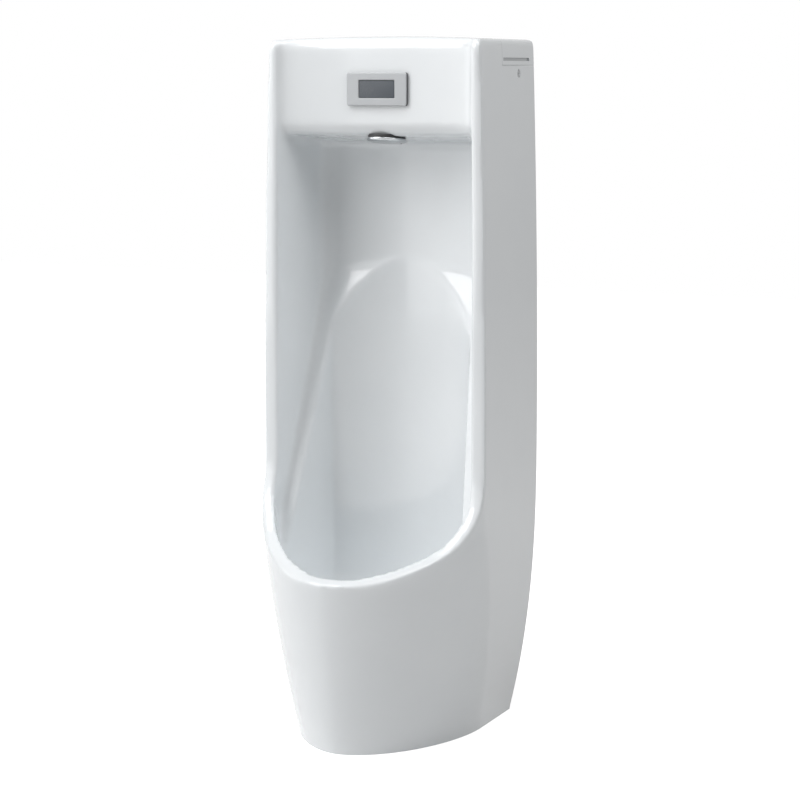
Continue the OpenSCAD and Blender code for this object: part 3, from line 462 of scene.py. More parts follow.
class Finishes:
    """Every finish of the object, built once and looked up by name."""

    def __init__(self) -> None:
        """Builds the materials."""
        recipes = (
            Glaze("china_glaze"),
            # the lid's glaze darkens its groove and seam lines with painted shade
            Glaze(
                "lid_gloss",
                roughness=0.17,
                wave=0.00008,
                groove=(TopLid.groove_shade_reach, TopLid.groove_low, TopLid.groove_high),
                seam=(TopLid.front, TopLid.seat),
            ),
            SatinPlate("satin_silver", front=SensorPlate.panel_y - SensorPlate.stand),
            Moulded("window_grey", (0.092, 0.104, 0.12), 0.24, grain_depth=0.000002),
            Metal("chrome_plate", (0.56, 0.575, 0.59), 0.17, grain_depth=0.000002, variation=0.03),
            Metal("zinc_steel", (0.46, 0.47, 0.48), 0.34, (30.0, 30.0, 8.0)),
            Metal("cast_brass", (0.72, 0.52, 0.22), 0.36, (20.0, 20.0, 20.0), 0.00006),
            Rubber("black_rubber"),
            Moulded("white_resin", (0.78, 0.785, 0.78), 0.3),
            Moulded("grey_resin", (0.24, 0.25, 0.26)),
            Moulded("black_resin", (0.03, 0.03, 0.033), 0.38),
            CircuitBoard("board_lacquer"),
            Moulded("emitter_lens", (0.02, 0.012, 0.035), 0.08, coat=0.5),
            CellWrap("cell_wrap"),
        )
        self.materials = {recipe.name: recipe.build() for recipe in recipes}

    def __getitem__(self, name: str) -> Material:
        """Gives the material of that name."""
        return self.materials[name]


# ---------------------------------------------------------------- modelling


class Workshop:
    """Blender's own modelling tools, driven from code."""

    @staticmethod
    def choose(*objects: Solid) -> None:
        """Selects these objects alone.

        Args:
            objects: The objects; the first one becomes active.
        """
        if bpy.context.mode != "OBJECT":
            bpy.ops.object.mode_set(mode="OBJECT")
        bpy.ops.object.select_all(action="DESELECT")
        for obj in objects:
            obj.select_set(True)
        bpy.context.view_layer.objects.active = objects[0] if objects else None

    @classmethod
    @contextmanager
    def editing(cls, obj: Solid) -> Iterator[None]:
        """Opens an object's whole mesh for editing, and closes it again.

        Args:
            obj: The object.
        """
        cls.choose(obj)
        bpy.ops.object.mode_set(mode="EDIT")
        bpy.ops.mesh.select_all(action="SELECT")
        yield
        bpy.ops.object.mode_set(mode="OBJECT")

    @classmethod
    def loft(cls, name: str, rings: Sequence[Ring], closed: bool = False) -> Solid:
        """Extrudes a circle level by level and moves each level's points to a ring.

        Args:
            name: The object's name.
            rings: The levels, each with the same count of points in millimetres,
                in the same turning sense.
            closed: True where the last level joins the first, as on a washer.

        Returns:
            The new object.
        """
        count = len(rings[0])
        cls.choose()
        fill = "NOTHING" if closed else "NGON"
        bpy.ops.mesh.primitive_circle_add(vertices=count, radius=1.0, fill_type=fill)
        made = bpy.context.object
        made.name = name
        levels = list(rings) + ([rings[0]] if closed else [])
        with cls.editing(made):
            for _ in levels[1:]:
                bpy.ops.mesh.extrude_region_move(TRANSFORM_OT_translate={"value": (0, 0, 1)})
        turn = tau / count
        for vertex in made.data.vertices:
            x, y, z = vertex.co
            index = round((atan2(x, y) % tau) / turn) % count
            vertex.co = Vector(levels[round(z)][index]) * MM
        with cls.editing(made):
            bpy.ops.mesh.remove_doubles(threshold=1e-6)
            bpy.ops.mesh.normals_make_consistent(inside=False)
        return made

    @classmethod
    def prism(cls, name: str, section: Sequence[Pair], axis: int, ends: Pair) -> Solid:
        """Draws a section out along an axis, given as 0, 1 or 2, between two ends."""
        rings = [[(*point[:axis], end, *point[axis:]) for point in section] for end in ends]
        return cls.loft(name, rings)

    @classmethod
    def lathe(
        cls,
        name: str,
        profile: Sequence[Pair],
        place: Matrix,
        closed: bool = False,
        sides: int = 96,
    ) -> Solid:
        """Turns a round piece.

        Args:
            name: The object's name.
            profile: Radius and height of each step, in millimetres.
            place: Where the piece's axis stands, in millimetres.
            closed: True where the profile ends where it starts.
            sides: Points around the piece.

        Returns:
            The new object.
        """
        turns = [tau * k / sides for k in range(sides)]
        rings = [
            [tuple(place @ Vector((radius * sin(t), radius * cos(t), height))) for t in turns]
            for radius, height in profile
        ]
        return cls.loft(name, rings, closed)

    @classmethod
    def block(cls, name: str, low: Point, high: Point) -> Solid:
        """Adds a plain box, for cutting.

        Args:
            name: The object's name.
            low: The lowest corner, in millimetres.
            high: The highest corner.

        Returns:
            The new object.
        """
        cls.choose()
        centre = [(a + b) / 2 * MM for a, b in zip(low, high, strict=True)]
        bpy.ops.mesh.primitive_cube_add(size=1.0, location=centre)
        made = bpy.context.object
        made.name = name
        made.scale = [(b - a) * MM for a, b in zip(low, high, strict=True)]
        bpy.ops.object.transform_apply(location=True, rotation=True, scale=True)
        return made

    @classmethod
    def apply(cls, obj: Solid, kind: str, **settings: object) -> None:
        """Adds a modifier and applies it.

        Args:
            obj: The object.
            kind: The modifier's type.
            settings: The modifier's properties.
        """
        cls.choose(obj)
        modifier = obj.modifiers.new(kind.lower(), kind)
        for name, value in settings.items():
            setattr(modifier, name, value)
        bpy.ops.object.modifier_apply(modifier=modifier.name)

    @classmethod
    def combine(cls, obj: Solid, tool: Solid, operation: str) -> None:
        """Applies DIFFERENCE, UNION or INTERSECT with a tool, which is used up."""
        cls.apply(obj, "BOOLEAN", object=tool, operation=operation, solver="EXACT")
        bpy.data.objects.remove(tool, do_unlink=True)

    @classmethod
    def cut(cls, obj: Solid, *tools: Solid) -> None:
        """Cuts tools out of an object, one after the other."""
        for tool in tools:
            cls.combine(obj, tool, "DIFFERENCE")

    @classmethod
    def trim(cls, obj: Solid, point: Point, normal: Point) -> None:
        """Cuts away all on one side of a plane and closes the cut.

        Args:
            obj: The object.
            point: A point of the plane, in millimetres.
            normal: The direction that is cut away.
        """
        place = [value * MM for value in point]
        with cls.editing(obj):
            bpy.ops.mesh.bisect(plane_co=place, plane_no=normal, use_fill=True, clear_outer=True)

    @classmethod
    def soften(cls, obj: Solid, voxel: float, rounds: int) -> None:
        """Remeshes a solid evenly and smooths its edges round.

        Args:
            obj: The object.
            voxel: The mesh's size, in millimetres.
            rounds: How often it is smoothed.
        """
        cls.choose(obj)
        obj.data.remesh_voxel_size = voxel * MM
        obj.data.remesh_voxel_adaptivity = 0.0
        bpy.ops.object.voxel_remesh()
        cls.apply(obj, "SMOOTH", factor=0.5, iterations=rounds)

    @staticmethod
    def copy(obj: Solid, name: str) -> Solid:
        """Copies an object with a mesh of its own.

        Args:
            obj: The object.
            name: The copy's name.

        Returns:
            The copy.
        """
        twin = obj.copy()
        twin.data = obj.data.copy()
        twin.name = name
        bpy.context.scene.collection.objects.link(twin)
        return twin

    @staticmethod
    def paint(obj: Solid, material: Material) -> None:
        """Gives an object one material all over.

        Args:
            obj: The object.
            material: The material.
        """
        obj.data.materials.clear()
        obj.data.materials.append(material)
        for polygon in obj.data.polygons:
            polygon.material_index = 0

    @classmethod
    def finish(
        cls,
        obj: Solid,
        material: Material,
        body: Body,
        slot: str,
        nodes: Sequence[str],
        angle: float = 38.0,
    ) -> None:
        """Dresses a finished piece and hands it to its body.

        Args:
            obj: The piece.
            material: Its material.
            body: The body it rides on.
            slot: The record's material slot; not used.
            nodes: The CAD nodes that it stands for.
            angle: Edges flatter than this are shaded smooth, in degrees.
        """
        cls.choose(obj)
        bpy.ops.object.shade_smooth_by_angle(angle=radians(angle))
        cls.paint(obj, material)
        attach(obj, body.value)
        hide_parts(*nodes)
        LOG.info("%s: %d faces on %s", obj.name, len(obj.data.polygons), body.value)


# ---------------------------------------------------------------- the china


@dataclass(frozen=True)
class Outline:
    """The china's outline, in millimetres, by height."""

    height: float = 1000.0
    depth: float = 335.0
    waist_width: float = 353.0
    waist_height: float = 403.0
    base_width: float = 272.0
    top_width: float = 329.0
    low_curve: float = 2.5
    high_curve: float = 1.9
    foot_depth: float = 306.0
    upper_depth: float = 188.0
    nose_power: float = 1.74
    foot_side: float = 108.0
    lip_side: float = 157.0
    square_height: float = 376.0
    square_overlap: float = 8.0
    rear_radius: float = 3.0
    side_edge: float = 12.0
    front_edge: float = 18.0
    crown: float = 4.0
    crown_half: float = 165.0
    lip_height: float = 251.0
    rim_width: float = 20.0
    niche_taper: float = 0.35

    @property
    def wall(self) -> float:
        """Y of the wall."""
        return self.depth / 2

    @property
    def rim(self) -> float:
        """Y of the front of the upright rims."""
        return self.wall - self.upper_depth

    def half_width(self, z: float) -> float:
        """Gives the outside's half width.

        Args:
            z: The height.

        Returns:
            Half the width.
        """
        if z < self.waist_height:
            share = (1 - max(z, 0.0) / self.waist_height) ** self.low_curve
            return self.waist_width / 2 - (self.waist_width - self.base_width) / 2 * share
        share = (min(z, self.height) - self.waist_height) / (self.height - self.waist_height)
        narrowing = share**self.high_curve
        return self.waist_width / 2 - (self.waist_width - self.top_width) / 2 * narrowing

    def inner_half(self, z: float) -> float:
        """Gives the niche's half width behind the rims.

        Args:
            z: The height.

        Returns:
            Half the width.
        """
        if z < self.waist_height:
            return self.half_width(z) - self.rim_width
        narrowing = self.waist_width / 2 - self.half_width(z)
        return self.waist_width / 2 - self.rim_width - self.niche_taper * narrowing

    def side_y(self, z: float) -> float:
        """Gives the Y at which the straight side ends and the nose begins.

        Args:
            z: The height.

        Returns:
            The Y.
        """
        if z <= self.lip_height:
            growth = (self.lip_side - self.foot_side) * max(z, 0.0) / self.lip_height
            return self.wall - (self.foot_side + growth)
        share = smooth_step((z - self.lip_height) / (self.square_height - self.lip_height))
        growth = self.upper_depth + self.square_overlap - self.lip_side
        return self.wall - (self.lip_side + growth * share)

    def nose_y(self, z: float) -> float:
        """Gives the Y of the nose's tip at a height."""
        share = min(max(z, 0.0) / self.lip_height, 1.0)
        return self.wall - (self.foot_depth + (self.depth - self.foot_depth) * share)

    def nose(self, half: float, side: float, tip: float, count: int) -> list[Pair]:
        """Draws the nose's right half in plan.

        Args:
            half: Half width where it begins.
            side: Y where it begins.
            tip: Y of its tip.
            count: How many steps to take.

        Returns:
            The points from the side to the tip.
        """
        points = []
        power = 2 / self.nose_power
        for turn in quarter(count):
            x = half * max(cos(turn), 0.0) ** power
            points.append((x, side - (side - tip) * sin(turn) ** power))
        return points[:-1] + [(0.0, points[-1][1])]

    @staticmethod
    def whole(half: Sequence[Pair], z: float) -> list[Point]:
        """Mirrors a right half, given from rear to tip, into a ring, clockwise from above."""
        mirrored = [(-x, y, z) for x, y in reversed(half[:-1]) if x > 1e-9]
        return [(x, y, z) for x, y in half] + mirrored

    def outer_ring(self, z: float, inset: float, rear: float, count: int = 26) -> list[Point]:
        """Draws the outside at a height.

        Args:
            z: The height.
            inset: Distance inside the outer surface.
            rear: Y of the rear.
            count: Steps along half the nose.

        Returns:
            The ring.
        """
        width, side, radius = self.half_width(z) - inset, self.side_y(z), self.rear_radius
        half = arc((width - radius, rear - radius), radius, quarter(4))
        half += [(width, rear - radius + (side - rear + radius) * k / 8) for k in range(1, 8)]
        half += self.nose(width, side, self.nose_y(z) + inset, count)
        return self.whole(half, z)


@dataclass
class Piece:
    """What every piece of the object is built with."""

    finishes: Finishes
    outline: Outline


@dataclass
class ChinaBody(Piece):
    """The one-piece china body."""

    voxel: float = 4.0
    edge_rounds: int = 12
    margin: float = 24.0
    over: float = 20.0
    tip_slope: float = 6.0
    tip_radius: float = 90.0
    rim_slope: float = 26.0
    rim_sweep: float = 130.0
    panel_depth: float = 21.0
    panel_half: float = 152.0
    panel_foot: float = 876.0
    panel_power: float = 2.6
    panel_over: float = 0.3
    edge_height: float = 14.0
    edge_depth: float = 8.5
    ceiling_slope: float = 7.0
    niche_rear_half: float = 140.0
    niche_depth: float = 111.0
    niche_corner: float = 24.0
    niche_bulge: float = 8.0
    niche_low: float = 150.0
    niche_voxel: float = 1.25
    niche_rounds: int = 10
    ridge_height: float = 272.0
    ridge_slope: float = 73.8
    ridge_cut: float = 45.0
    bowl_floor: float = 150.0
    bowl_half: float = 112.0
    bowl_corner_y: float = 70.0
    bowl_bulge: float = 27.5
    bowl_flare: float = 0.3
    bowl_radius: float = 66.0
    skin: float = 13.0
    wall: float = 14.0
    rail_low: float = 925.0
    rail_high: float = 955.0
    head_low: float = 836.0
    drain_y: float = -18.0
    screw_x: float = 120.0
    screw_z: float = 940.0
    lid_gap: float = 0.2

    @property
    def panel_y(self) -> float:
        """Y of the panel's middle."""
        return self.outline.rim + self.panel_depth

    def levels(self, top: float, counts: tuple[int, int, int]) -> list[float]:
        """Divides the height at the lip and the waist into so many steps each."""
        marks = (0, self.outline.lip_height, self.outline.waist_height, top)
        return [z for low, high, n in zip(marks, marks[1:], counts) for z in steps(low, high, n)]

    def outside(self, inset: float = 0.0) -> Solid:
        """Lofts the outside, before the rim is cut, past the wall and the floor.

        Args:
            inset: Distance inside the outer surface.

        Returns:
            The solid.
        """
        shape = self.outline
        edge = shape.side_edge
        shoulder = shape.height - edge
        rear = shape.wall + self.margin
        heights = [-self.margin, 0.0] + self.levels(shoulder, (12, 8, 20))
        rings = [shape.outer_ring(z, inset, rear) for z in heights]
        for turn in steps(0, 90, 6):
            angle = radians(turn)
            drawn_in = inset + edge * (1 - cos(angle))
            rings.append(shape.outer_ring(shoulder + edge * sin(angle), drawn_in, rear))
        form = Workshop.loft("outside", rings)
        reach, side, low, high = 176, 180.0, -self.margin - 1, 990.0
        across = [reach * k / 16 for k in range(-16, 17)]
        top = [(x, shape.height - inset - shape.crown * (x / shape.crown_half) ** 2) for x in across]
        section = [(-side, low), (-side, high), *top, (side, high), (side, low)]
        Workshop.combine(form, Workshop.prism("crown", section, 1, (-400.0, 400.0)), "INTERSECT")
        return form

    def rim_tool(self) -> Solid:
        """Builds the tool that cuts the rim's sweep and the front top edge.

        Returns:
            The tool.
        """
        shape, edge, over = self.outline, self.outline.front_edge, self.over
        tip, top = -shape.wall, shape.height + over
        flat, slope = radians(self.tip_slope), radians(self.rim_slope)
        points = [(tip - over, shape.lip_height - over * tan(flat))]
        for k in range(9):
            turn = radians(self.tip_slope + (self.rim_slope - self.tip_slope) * k / 8)
            y = tip + self.tip_radius * (sin(turn) - sin(flat))
            points.append((y, shape.lip_height + self.tip_radius * (cos(flat) - cos(turn))))
        last_y, last_z = points[-1]
        sweep = self.rim_sweep
        start_y = shape.rim - sweep * (1 - sin(slope))
        sweep_z = last_z + (start_y - last_y) * tan(slope) + sweep * cos(slope)
        for k in range(21):
            turn = radians((90 - self.rim_slope) * (1 - k / 20))
            points.append((shape.rim - sweep * (1 - cos(turn)), sweep_z - sweep * sin(turn)))
        for turn in quarter(8):
            z = shape.height - edge * (1 - sin(turn))
            points.append((shape.rim + edge * (1 - cos(turn)), z))
        points += [(shape.rim + edge, top), (tip - over, top)]
        return Workshop.prism("rim_tool", points, 0, (-ASIDE, ASIDE))

    def panel_tool(self) -> Solid:
        """Builds the tool that hollows the sensor panel and runs back under it to the ceiling.

        Returns:
            The tool.
        """
        shape, edge = self.outline, self.outline.front_edge
        shoulder = shape.height - edge
        low = self.panel_foot - (self.edge_height + 3)
        levels = [low] + steps(low, self.panel_foot, 2) + steps(self.panel_foot, shoulder, 6)
        levels += [shape.height - edge * (1 - sin(turn)) for turn in quarter(8, 1)]
        rings = []
        for z in levels:
            rise = max(z - shoulder, 0.0)
            lift = edge - sqrt(max(edge * edge - rise * rise, 0.0))
            lift += self.edge_depth / self.edge_height * max(self.panel_foot - z, 0.0)
            front = shape.rim - self.panel_over + lift
            ring = []
            for k in range(49):
                across = sin(radians(-90 + 180 * k / 48))
                deep = max(1 - abs(across) ** self.panel_power, 0.0) ** (1 / self.panel_power)
                y = front + (self.panel_depth + self.panel_over) * deep
                ring.append((self.panel_half * across, y, z))
            ring += [(side * self.panel_half, shape.rim - 30, z) for side in (1, -1)]
            rings.append(ring)
        rings.append([(x, y, shape.height + 30) for x, y, _ in rings[-1]])
        return Workshop.loft("panel_tool", rings)

    def niche_half(self, z: float, grow: float) -> list[Pair]:
        """Draws the niche's right half in plan.

        Args:
            z: The height.
            grow: The distance that it is grown outwards.

        Returns:
            The points from the rear to the tip.
        """
        shape = self.outline
        half, radius = self.niche_rear_half + grow, self.niche_corner + grow
        rear = shape.rim + self.niche_depth + grow
        across = [(half - radius) * k / 8 for k in range(9)]
        points = [(x, rear + self.niche_bulge * (1 - (x / half) ** 2)) for x in across]
        points += arc((half - radius, rear - radius), radius, quarter(8, 1))
        tip = shape.nose_y(z) + shape.rim_width + 3 - grow
        return points + shape.nose(shape.inner_half(z) + grow, shape.side_y(z), tip, 22)

    def niche_tool(self, grow: float = 0.0) -> Solid:
        """Builds the niche above the ridge.

        Args:
            grow: The distance that it is grown outwards.

        Returns:
            The tool.
        """
        shape = self.outline
        heights = [self.niche_low] + steps(self.niche_low, shape.square_height, 10)
        heights += [shape.waist_height, 480.0, 560.0, 650.0, 750.0, 850.0, 906.0]
        rings = [shape.whole(self.niche_half(z, grow), z) for z in heights]
        tool = Workshop.loft("niche_tool", rings)
        slope, steep = radians(self.ceiling_slope), radians(self.ridge_slope)
        ceiling = self.panel_foot - self.edge_height + grow / cos(slope)
        Workshop.trim(tool, (0, self.panel_y + self.edge_depth, ceiling), (0, sin(slope), cos(slope)))
        ridge = self.ridge_height - grow / cos(steep)
        Workshop.trim(tool, (0, shape.rim, ridge), (0, sin(steep), -cos(steep)))
        Workshop.trim(tool, (0, 0, self.ridge_height - self.ridge_cut), (0, 0, -1))
        return tool

    def bowl_half_plan(self, z: float, grow: float) -> list[Pair]:
        """Draws the bowl's right half in plan.

        Args:
            z: The height.
            grow: The distance that it is grown outwards.

        Returns:
            The points from the rear to the tip.
        """
        shape = self.outline
        radius = self.bowl_radius + grow
        rise = min(max(self.bowl_floor - grow + radius - z, 0.0), radius)
        inset = radius - sqrt(radius * radius - rise * rise) - grow
        half, corner = self.bowl_half - inset, self.bowl_corner_y - inset
        points = []
        for k in range(15):
            points.append((half * k / 14, corner + self.bowl_bulge * (1 - (k / 14) ** 2)))
        side = min(shape.side_y(z), corner - 4)
        tip = shape.nose_y(z) + shape.rim_width + inset
        for x, y in shape.nose(shape.inner_half(z) - inset, side, tip, 26):
            points.append((min(x, half + self.bowl_flare * (corner - y)), y))
        return points

    def bowl_tool(self, grow: float = 0.0) -> Solid:
        """Builds the bowl.

        Args:
            grow: The distance that it is grown outwards.

        Returns:
            The tool.
        """
        shape, radius = self.outline, self.bowl_radius + grow
        heights = [self.bowl_floor - grow + radius * (1 - cos(turn)) for turn in quarter(12)]
        heights += steps(self.bowl_floor + self.bowl_radius, shape.square_height, 8)
        heights += [shape.waist_height, 480.0, 580.0, 700.0]
        rings = [shape.whole(self.bowl_half_plan(z, grow), z) for z in heights]
        return Workshop.loft("bowl_tool", rings)

    def service_tool(self) -> Solid:
        """Builds the hollow behind and under the china's inner skin.

        Returns:
            The tool.
        """
        shape = self.outline
        heights = [-5.0] + self.levels(shape.height - self.wall, (6, 4, 6))
        rings = [shape.outer_ring(z, self.wall, shape.wall + 12, 14) for z in heights]
        tool = Workshop.loft("service_tool", rings)
        head_low, head_high = (-ASIDE, -ASIDE, self.head_low), (ASIDE, self.panel_y + 12, 1010)
        rail_low = (-ASIDE, shape.wall - self.wall, self.rail_low)
        rail_high = (ASIDE, shape.wall + self.over, self.rail_high)
        Workshop.cut(tool, self.niche_tool(self.skin), self.bowl_tool(self.skin))
        Workshop.cut(tool, Workshop.block("front", head_low, head_high))
        Workshop.cut(tool, Workshop.block("rail", rail_low, rail_high))
        return tool

    def holes(self) -> Solid:
        """Builds all the holes through the china, as one tool.

        Returns:
            The tool.
        """
        shape = self.outline
        tool = Workshop.block("holes", (-42, -40, 910), (42, 30, 944))
        ceiling = Spreader(self.finishes, shape).place
        drain = Matrix.Translation((0, self.drain_y, 0))
        lock = LidLock(self.finishes, shape).place
        rounds = [
            ([(27, -7.5), (27, 0), (12, 0), (12, 24)], ceiling),
            ([(40.6, 120), (40.6, 144), (49.2, 144), (49.2, 160)], drain),
            ([(4.2, -24), (4.2, -2.4), (5.9, -2.4), (5.9, 8)], lock),
        ]
        for side in (-1, 1):
            screw = Matrix.Translation((side * self.screw_x, shape.wall, self.screw_z))
            rounds.append(([(5, -20), (5, 20)], screw @ Matrix.Rotation(pi / 2, 4, "X")))
        for profile, place in rounds:
            Workshop.combine(tool, Workshop.lathe("hole", profile, place, sides=64), "UNION")
        return tool

    def build(self) -> Solid:
        """Builds the body.

        Returns:
            The rounded solid before it was hollowed, for the lid.
        """
        shape = self.outline
        body, niche = self.outside(), self.niche_tool()
        Workshop.cut(body, self.rim_tool(), self.panel_tool())
        Workshop.soften(niche, self.voxel * self.niche_voxel, self.niche_rounds)
        Workshop.cut(body, niche, self.bowl_tool())
        Workshop.soften(body, self.voxel, self.edge_rounds)
        Workshop.trim(body, (0, shape.wall, 0), (0, 1, 0))
        Workshop.trim(body, (0, 0, 0), (0, 0, -1))
        solid = Workshop.copy(body, "solid")
        room_low = (-ASIDE, TopLid.front - self.lid_gap, TopLid.seat - self.lid_gap)
        room_high = (ASIDE, shape.wall + self.over, shape.height + self.over)
        Workshop.cut(body, Workshop.block("lid_room", room_low, room_high))
        Workshop.cut(body, self.service_tool(), self.holes())
        body.name = "china_body"
        glaze = self.finishes["china_glaze"]
        Workshop.finish(body, glaze, Body.CHINA, "china", ["ceramic_body"])
        return solid


@dataclass
class TopLid(Piece):
    """The lid over the rear of the head."""

    front: float = 55.1
    seat: float = 959.6
    thickness: float = 4.5
    edge: float = 5.0
    groove_low: float = 966.1
    groove_high: float = 970.6
    groove_depth: float = 2.4
    groove_start: float = 4.0
    groove_end: float = 96.0
    # half width that the painted shade in the groove reaches
    groove_shade_reach: float = 163.9

    def build(self, lid: Solid, inside: Solid) -> None:
        """Builds the lid.

        Args:
            lid: The rounded outside, which becomes the lid.
            inside: The outside inset by the lid's thickness, which is cut out.
        """
        Workshop.trim(lid, (0, self.front, 0), (0, -1, 0))
        Workshop.trim(lid, (0, 0, self.seat), (0, 0, -1))
        Workshop.trim(inside, (0, self.front - self.edge, 0), (0, -1, 0))
        Workshop.trim(inside, (0, 0, self.seat - self.edge), (0, 0, -1))
        Workshop.trim(inside, (0, self.outline.wall - self.thickness, 0), (0, 1, 0))
        Workshop.cut(lid, inside)
        reach = self.outline.half_width(self.seat)
        for side in (-1, 1):
            near, far = sorted((side * (reach - self.groove_depth), side * (reach + 6)))
            low = (near, self.front + self.groove_start, self.groove_low)
            high = (far, self.front + self.groove_end, self.groove_high)
            Workshop.cut(lid, Workshop.block("groove", low, high))
        lid.name = "lid_shell"
        Workshop.finish(lid, self.finishes["lid_gloss"], Body.LID, "lid_white", ["top_lid"])


@dataclass
class LidLock(Piece):
    """The small round lock under the lid."""

    y: float = 112.5
    z: float = 948.5
    wall: float = 14.0
    cam_radius: float = 3.5
    cam_reach: float = 9.5
    slot_depth: float = 1.5

    @property
    def face(self) -> float:
        """X of the face of the lock's head."""
        return self.outline.half_width(self.z)

    @property
    def place(self) -> Matrix:
        """The lock's axis, pointing out of the right side, with its head's face at zero."""
        turn = Matrix.Rotation(pi / 2, 4, "Y")
        return Matrix.Translation((self.face, self.y, self.z)) @ turn

    def build(self) -> None:
        """Builds the lock."""
        profile = [
            (0.0, -19.2), (3.7, -19.2), (4, -18.9), (4, -2), (5.1, -2), (5.5, -1.6),
            (5.5, -0.6), (5.2, -0.15), (4.4, 0), (3.4, -0.1), (3.1, -0.5), (0.0, -0.5),
        ]
        lock = Workshop.lathe("lid_lock_head", profile, self.place, sides=48)
        low = (self.face - self.slot_depth, self.y - 3, self.z - 0.5)
        high = (self.face + 2, self.y + 3, self.z + 0.5)
        Workshop.cut(lock, Workshop.block("slot", low, high))
        inner, radius = self.face - self.wall, self.cam_radius
        top, turns = self.z + self.cam_reach, [pi * k / 12 for k in range(13)]
        section = [(self.y + radius * cos(turn), top + radius * sin(turn)) for turn in turns]
        section += [(self.y - radius, self.z), (self.y + radius, self.z)]
        cam = Workshop.prism("cam", section, 0, (inner - 5.4, inner - 1.4))
        Workshop.combine(lock, cam, "UNION")
        Workshop.finish(lock, self.finishes["zinc_steel"], Body.LOCK, "chrome", ["lid_lock"], 30)


@dataclass
class SensorPlate(Piece):
    """The satin plate around the sensor, with its dark window."""

    panel_y: float = 0.5
    z: float = 927.0
    width: float = 94.0
    height: float = 46.0
    stand: float = 5.5
    window_width: float = 55.0
    window_height: float = 24.0

    def _ring(self, width: float, height: float, radius: float, y: float) -> list[Point]:
        """Places a rounded rectangle upright at a depth."""
        return [(x, y, self.z + z) for x, z in rounded_rectangle(width, height, radius)]

    def build(self) -> None:
        """Builds the plate and the window."""
        width, height = self.window_width, self.window_height
        back, front = self.panel_y - 0.5, self.panel_y - self.stand
        outer = [(0.0, back), (0.0, front + 1.0), (0.25, front + 0.45), (0.7, front + 0.12), (1.3, front)]
        rings = [
            self._ring(self.width - 2 * i, self.height - 2 * i, max(3 - i * 0.6, 0.6), y)
            for i, y in outer
        ]
        lip = [(2.2, front), (1.2, front + 0.15), (0.6, front + 0.9), (0.2, front + 1.5), (0.2, back)]
        rings += [self._ring(width + 2 * i, height + 2 * i, 0.8 + i, y) for i, y in lip]
        plate = Workshop.loft("sensor_plate", rings, closed=True)
        satin, window = self.finishes["satin_silver"], self.finishes["window_grey"]
        Workshop.finish(plate, satin, Body.CHINA, "satin_silver", ["sensor_bezel"], 30)
        Workshop.apply(plate, "WEIGHTED_NORMAL", weight=100, keep_sharp=True)
        glass = [
            (1.2, front + 3.6), (0.0, front + 3.6), (0.0, front + 1.5), (0.2, front + 1.25),
            (0.6, front + 1.2),
        ]
        panes = [
            self._ring(width - 2 * i, height - 2 * i, max(0.8 - i * 0.3, 0.2), y)
            for i, y in glass
        ]
        pane = Workshop.loft("sensor_pane", panes)
        Workshop.finish(pane, window, Body.CHINA, "window_grey", ["sensor_window"], 30)


@dataclass
class Spreader(Piece):
    """The chrome flush spreader in the ceiling."""

    y: float = 28.5
    z: float = 862.124
    slope: float = 7.0
    disc_radius: float = 29.0
    disc_height: float = 7.0
    ring_height: float = 5.0
    slit_start: float = 20.0

    @property
    def place(self) -> Matrix:
        """The ring's seat in the ceiling, with Z into the china."""
        turn = Matrix.Rotation(radians(-self.slope), 4, "X")
        return Matrix.Translation((0, self.y, self.z)) @ turn

    def build(self) -> None:
        """Builds the spreader and its dark ring."""
        face = -self.ring_height - self.disc_height
        r = self.disc_radius
        profile = [
            (0.0, face), (6, face + 0.1), (12, face + 0.35), (18, face + 0.8), (22, face + 1.2),
            (25, face + 1.8), (27, face + 2.6), (28.3, face + 3.6), (28.9, face + 4.6),
            (r, face + 5.4), (r, face + 6.0), (28.8, face + 6.6), (28.2, face + 7),
            (10.4, face + 7), (10.4, 29.5), (6.5, 29.5), (6.5, face + 7.4), (0.0, face + 7.4),
        ]
        head = Workshop.lathe("spreader_disc", profile, self.place, sides=128)
        slit = ((20.0, -2.0), (22.2, -2.0), (22.2, 4.2), (20.0, 4.2))
        rings = []
        for k in range(29):
            turn = radians(self.slit_start + (180 - 2 * self.slit_start) * k / 28)
            points = [(q * cos(turn), q * sin(turn), face + height) for q, height in slit]
            rings.append([tuple(self.place @ Vector(point)) for point in points])
        Workshop.cut(head, Workshop.loft("slit", rings))
        chrome, rubber = self.finishes["chrome_plate"], self.finishes["black_rubber"]
        Workshop.finish(head, chrome, Body.CHINA, "chrome", ["spreader_head"], 40)
        collar = [
            (10.8, -5.0), (25.6, -5.0), (26.2, -4.7), (26.5, -4.0), (26.5, -1.0), (26.2, -0.4),
            (25.6, -0.1), (10.8, -0.1),
        ]
        gasket = Workshop.lathe("spreader_collar", collar, self.place, closed=True, sides=128)
        Workshop.finish(gasket, rubber, Body.CHINA, "black_rubber", ["spreader_gasket"], 40)


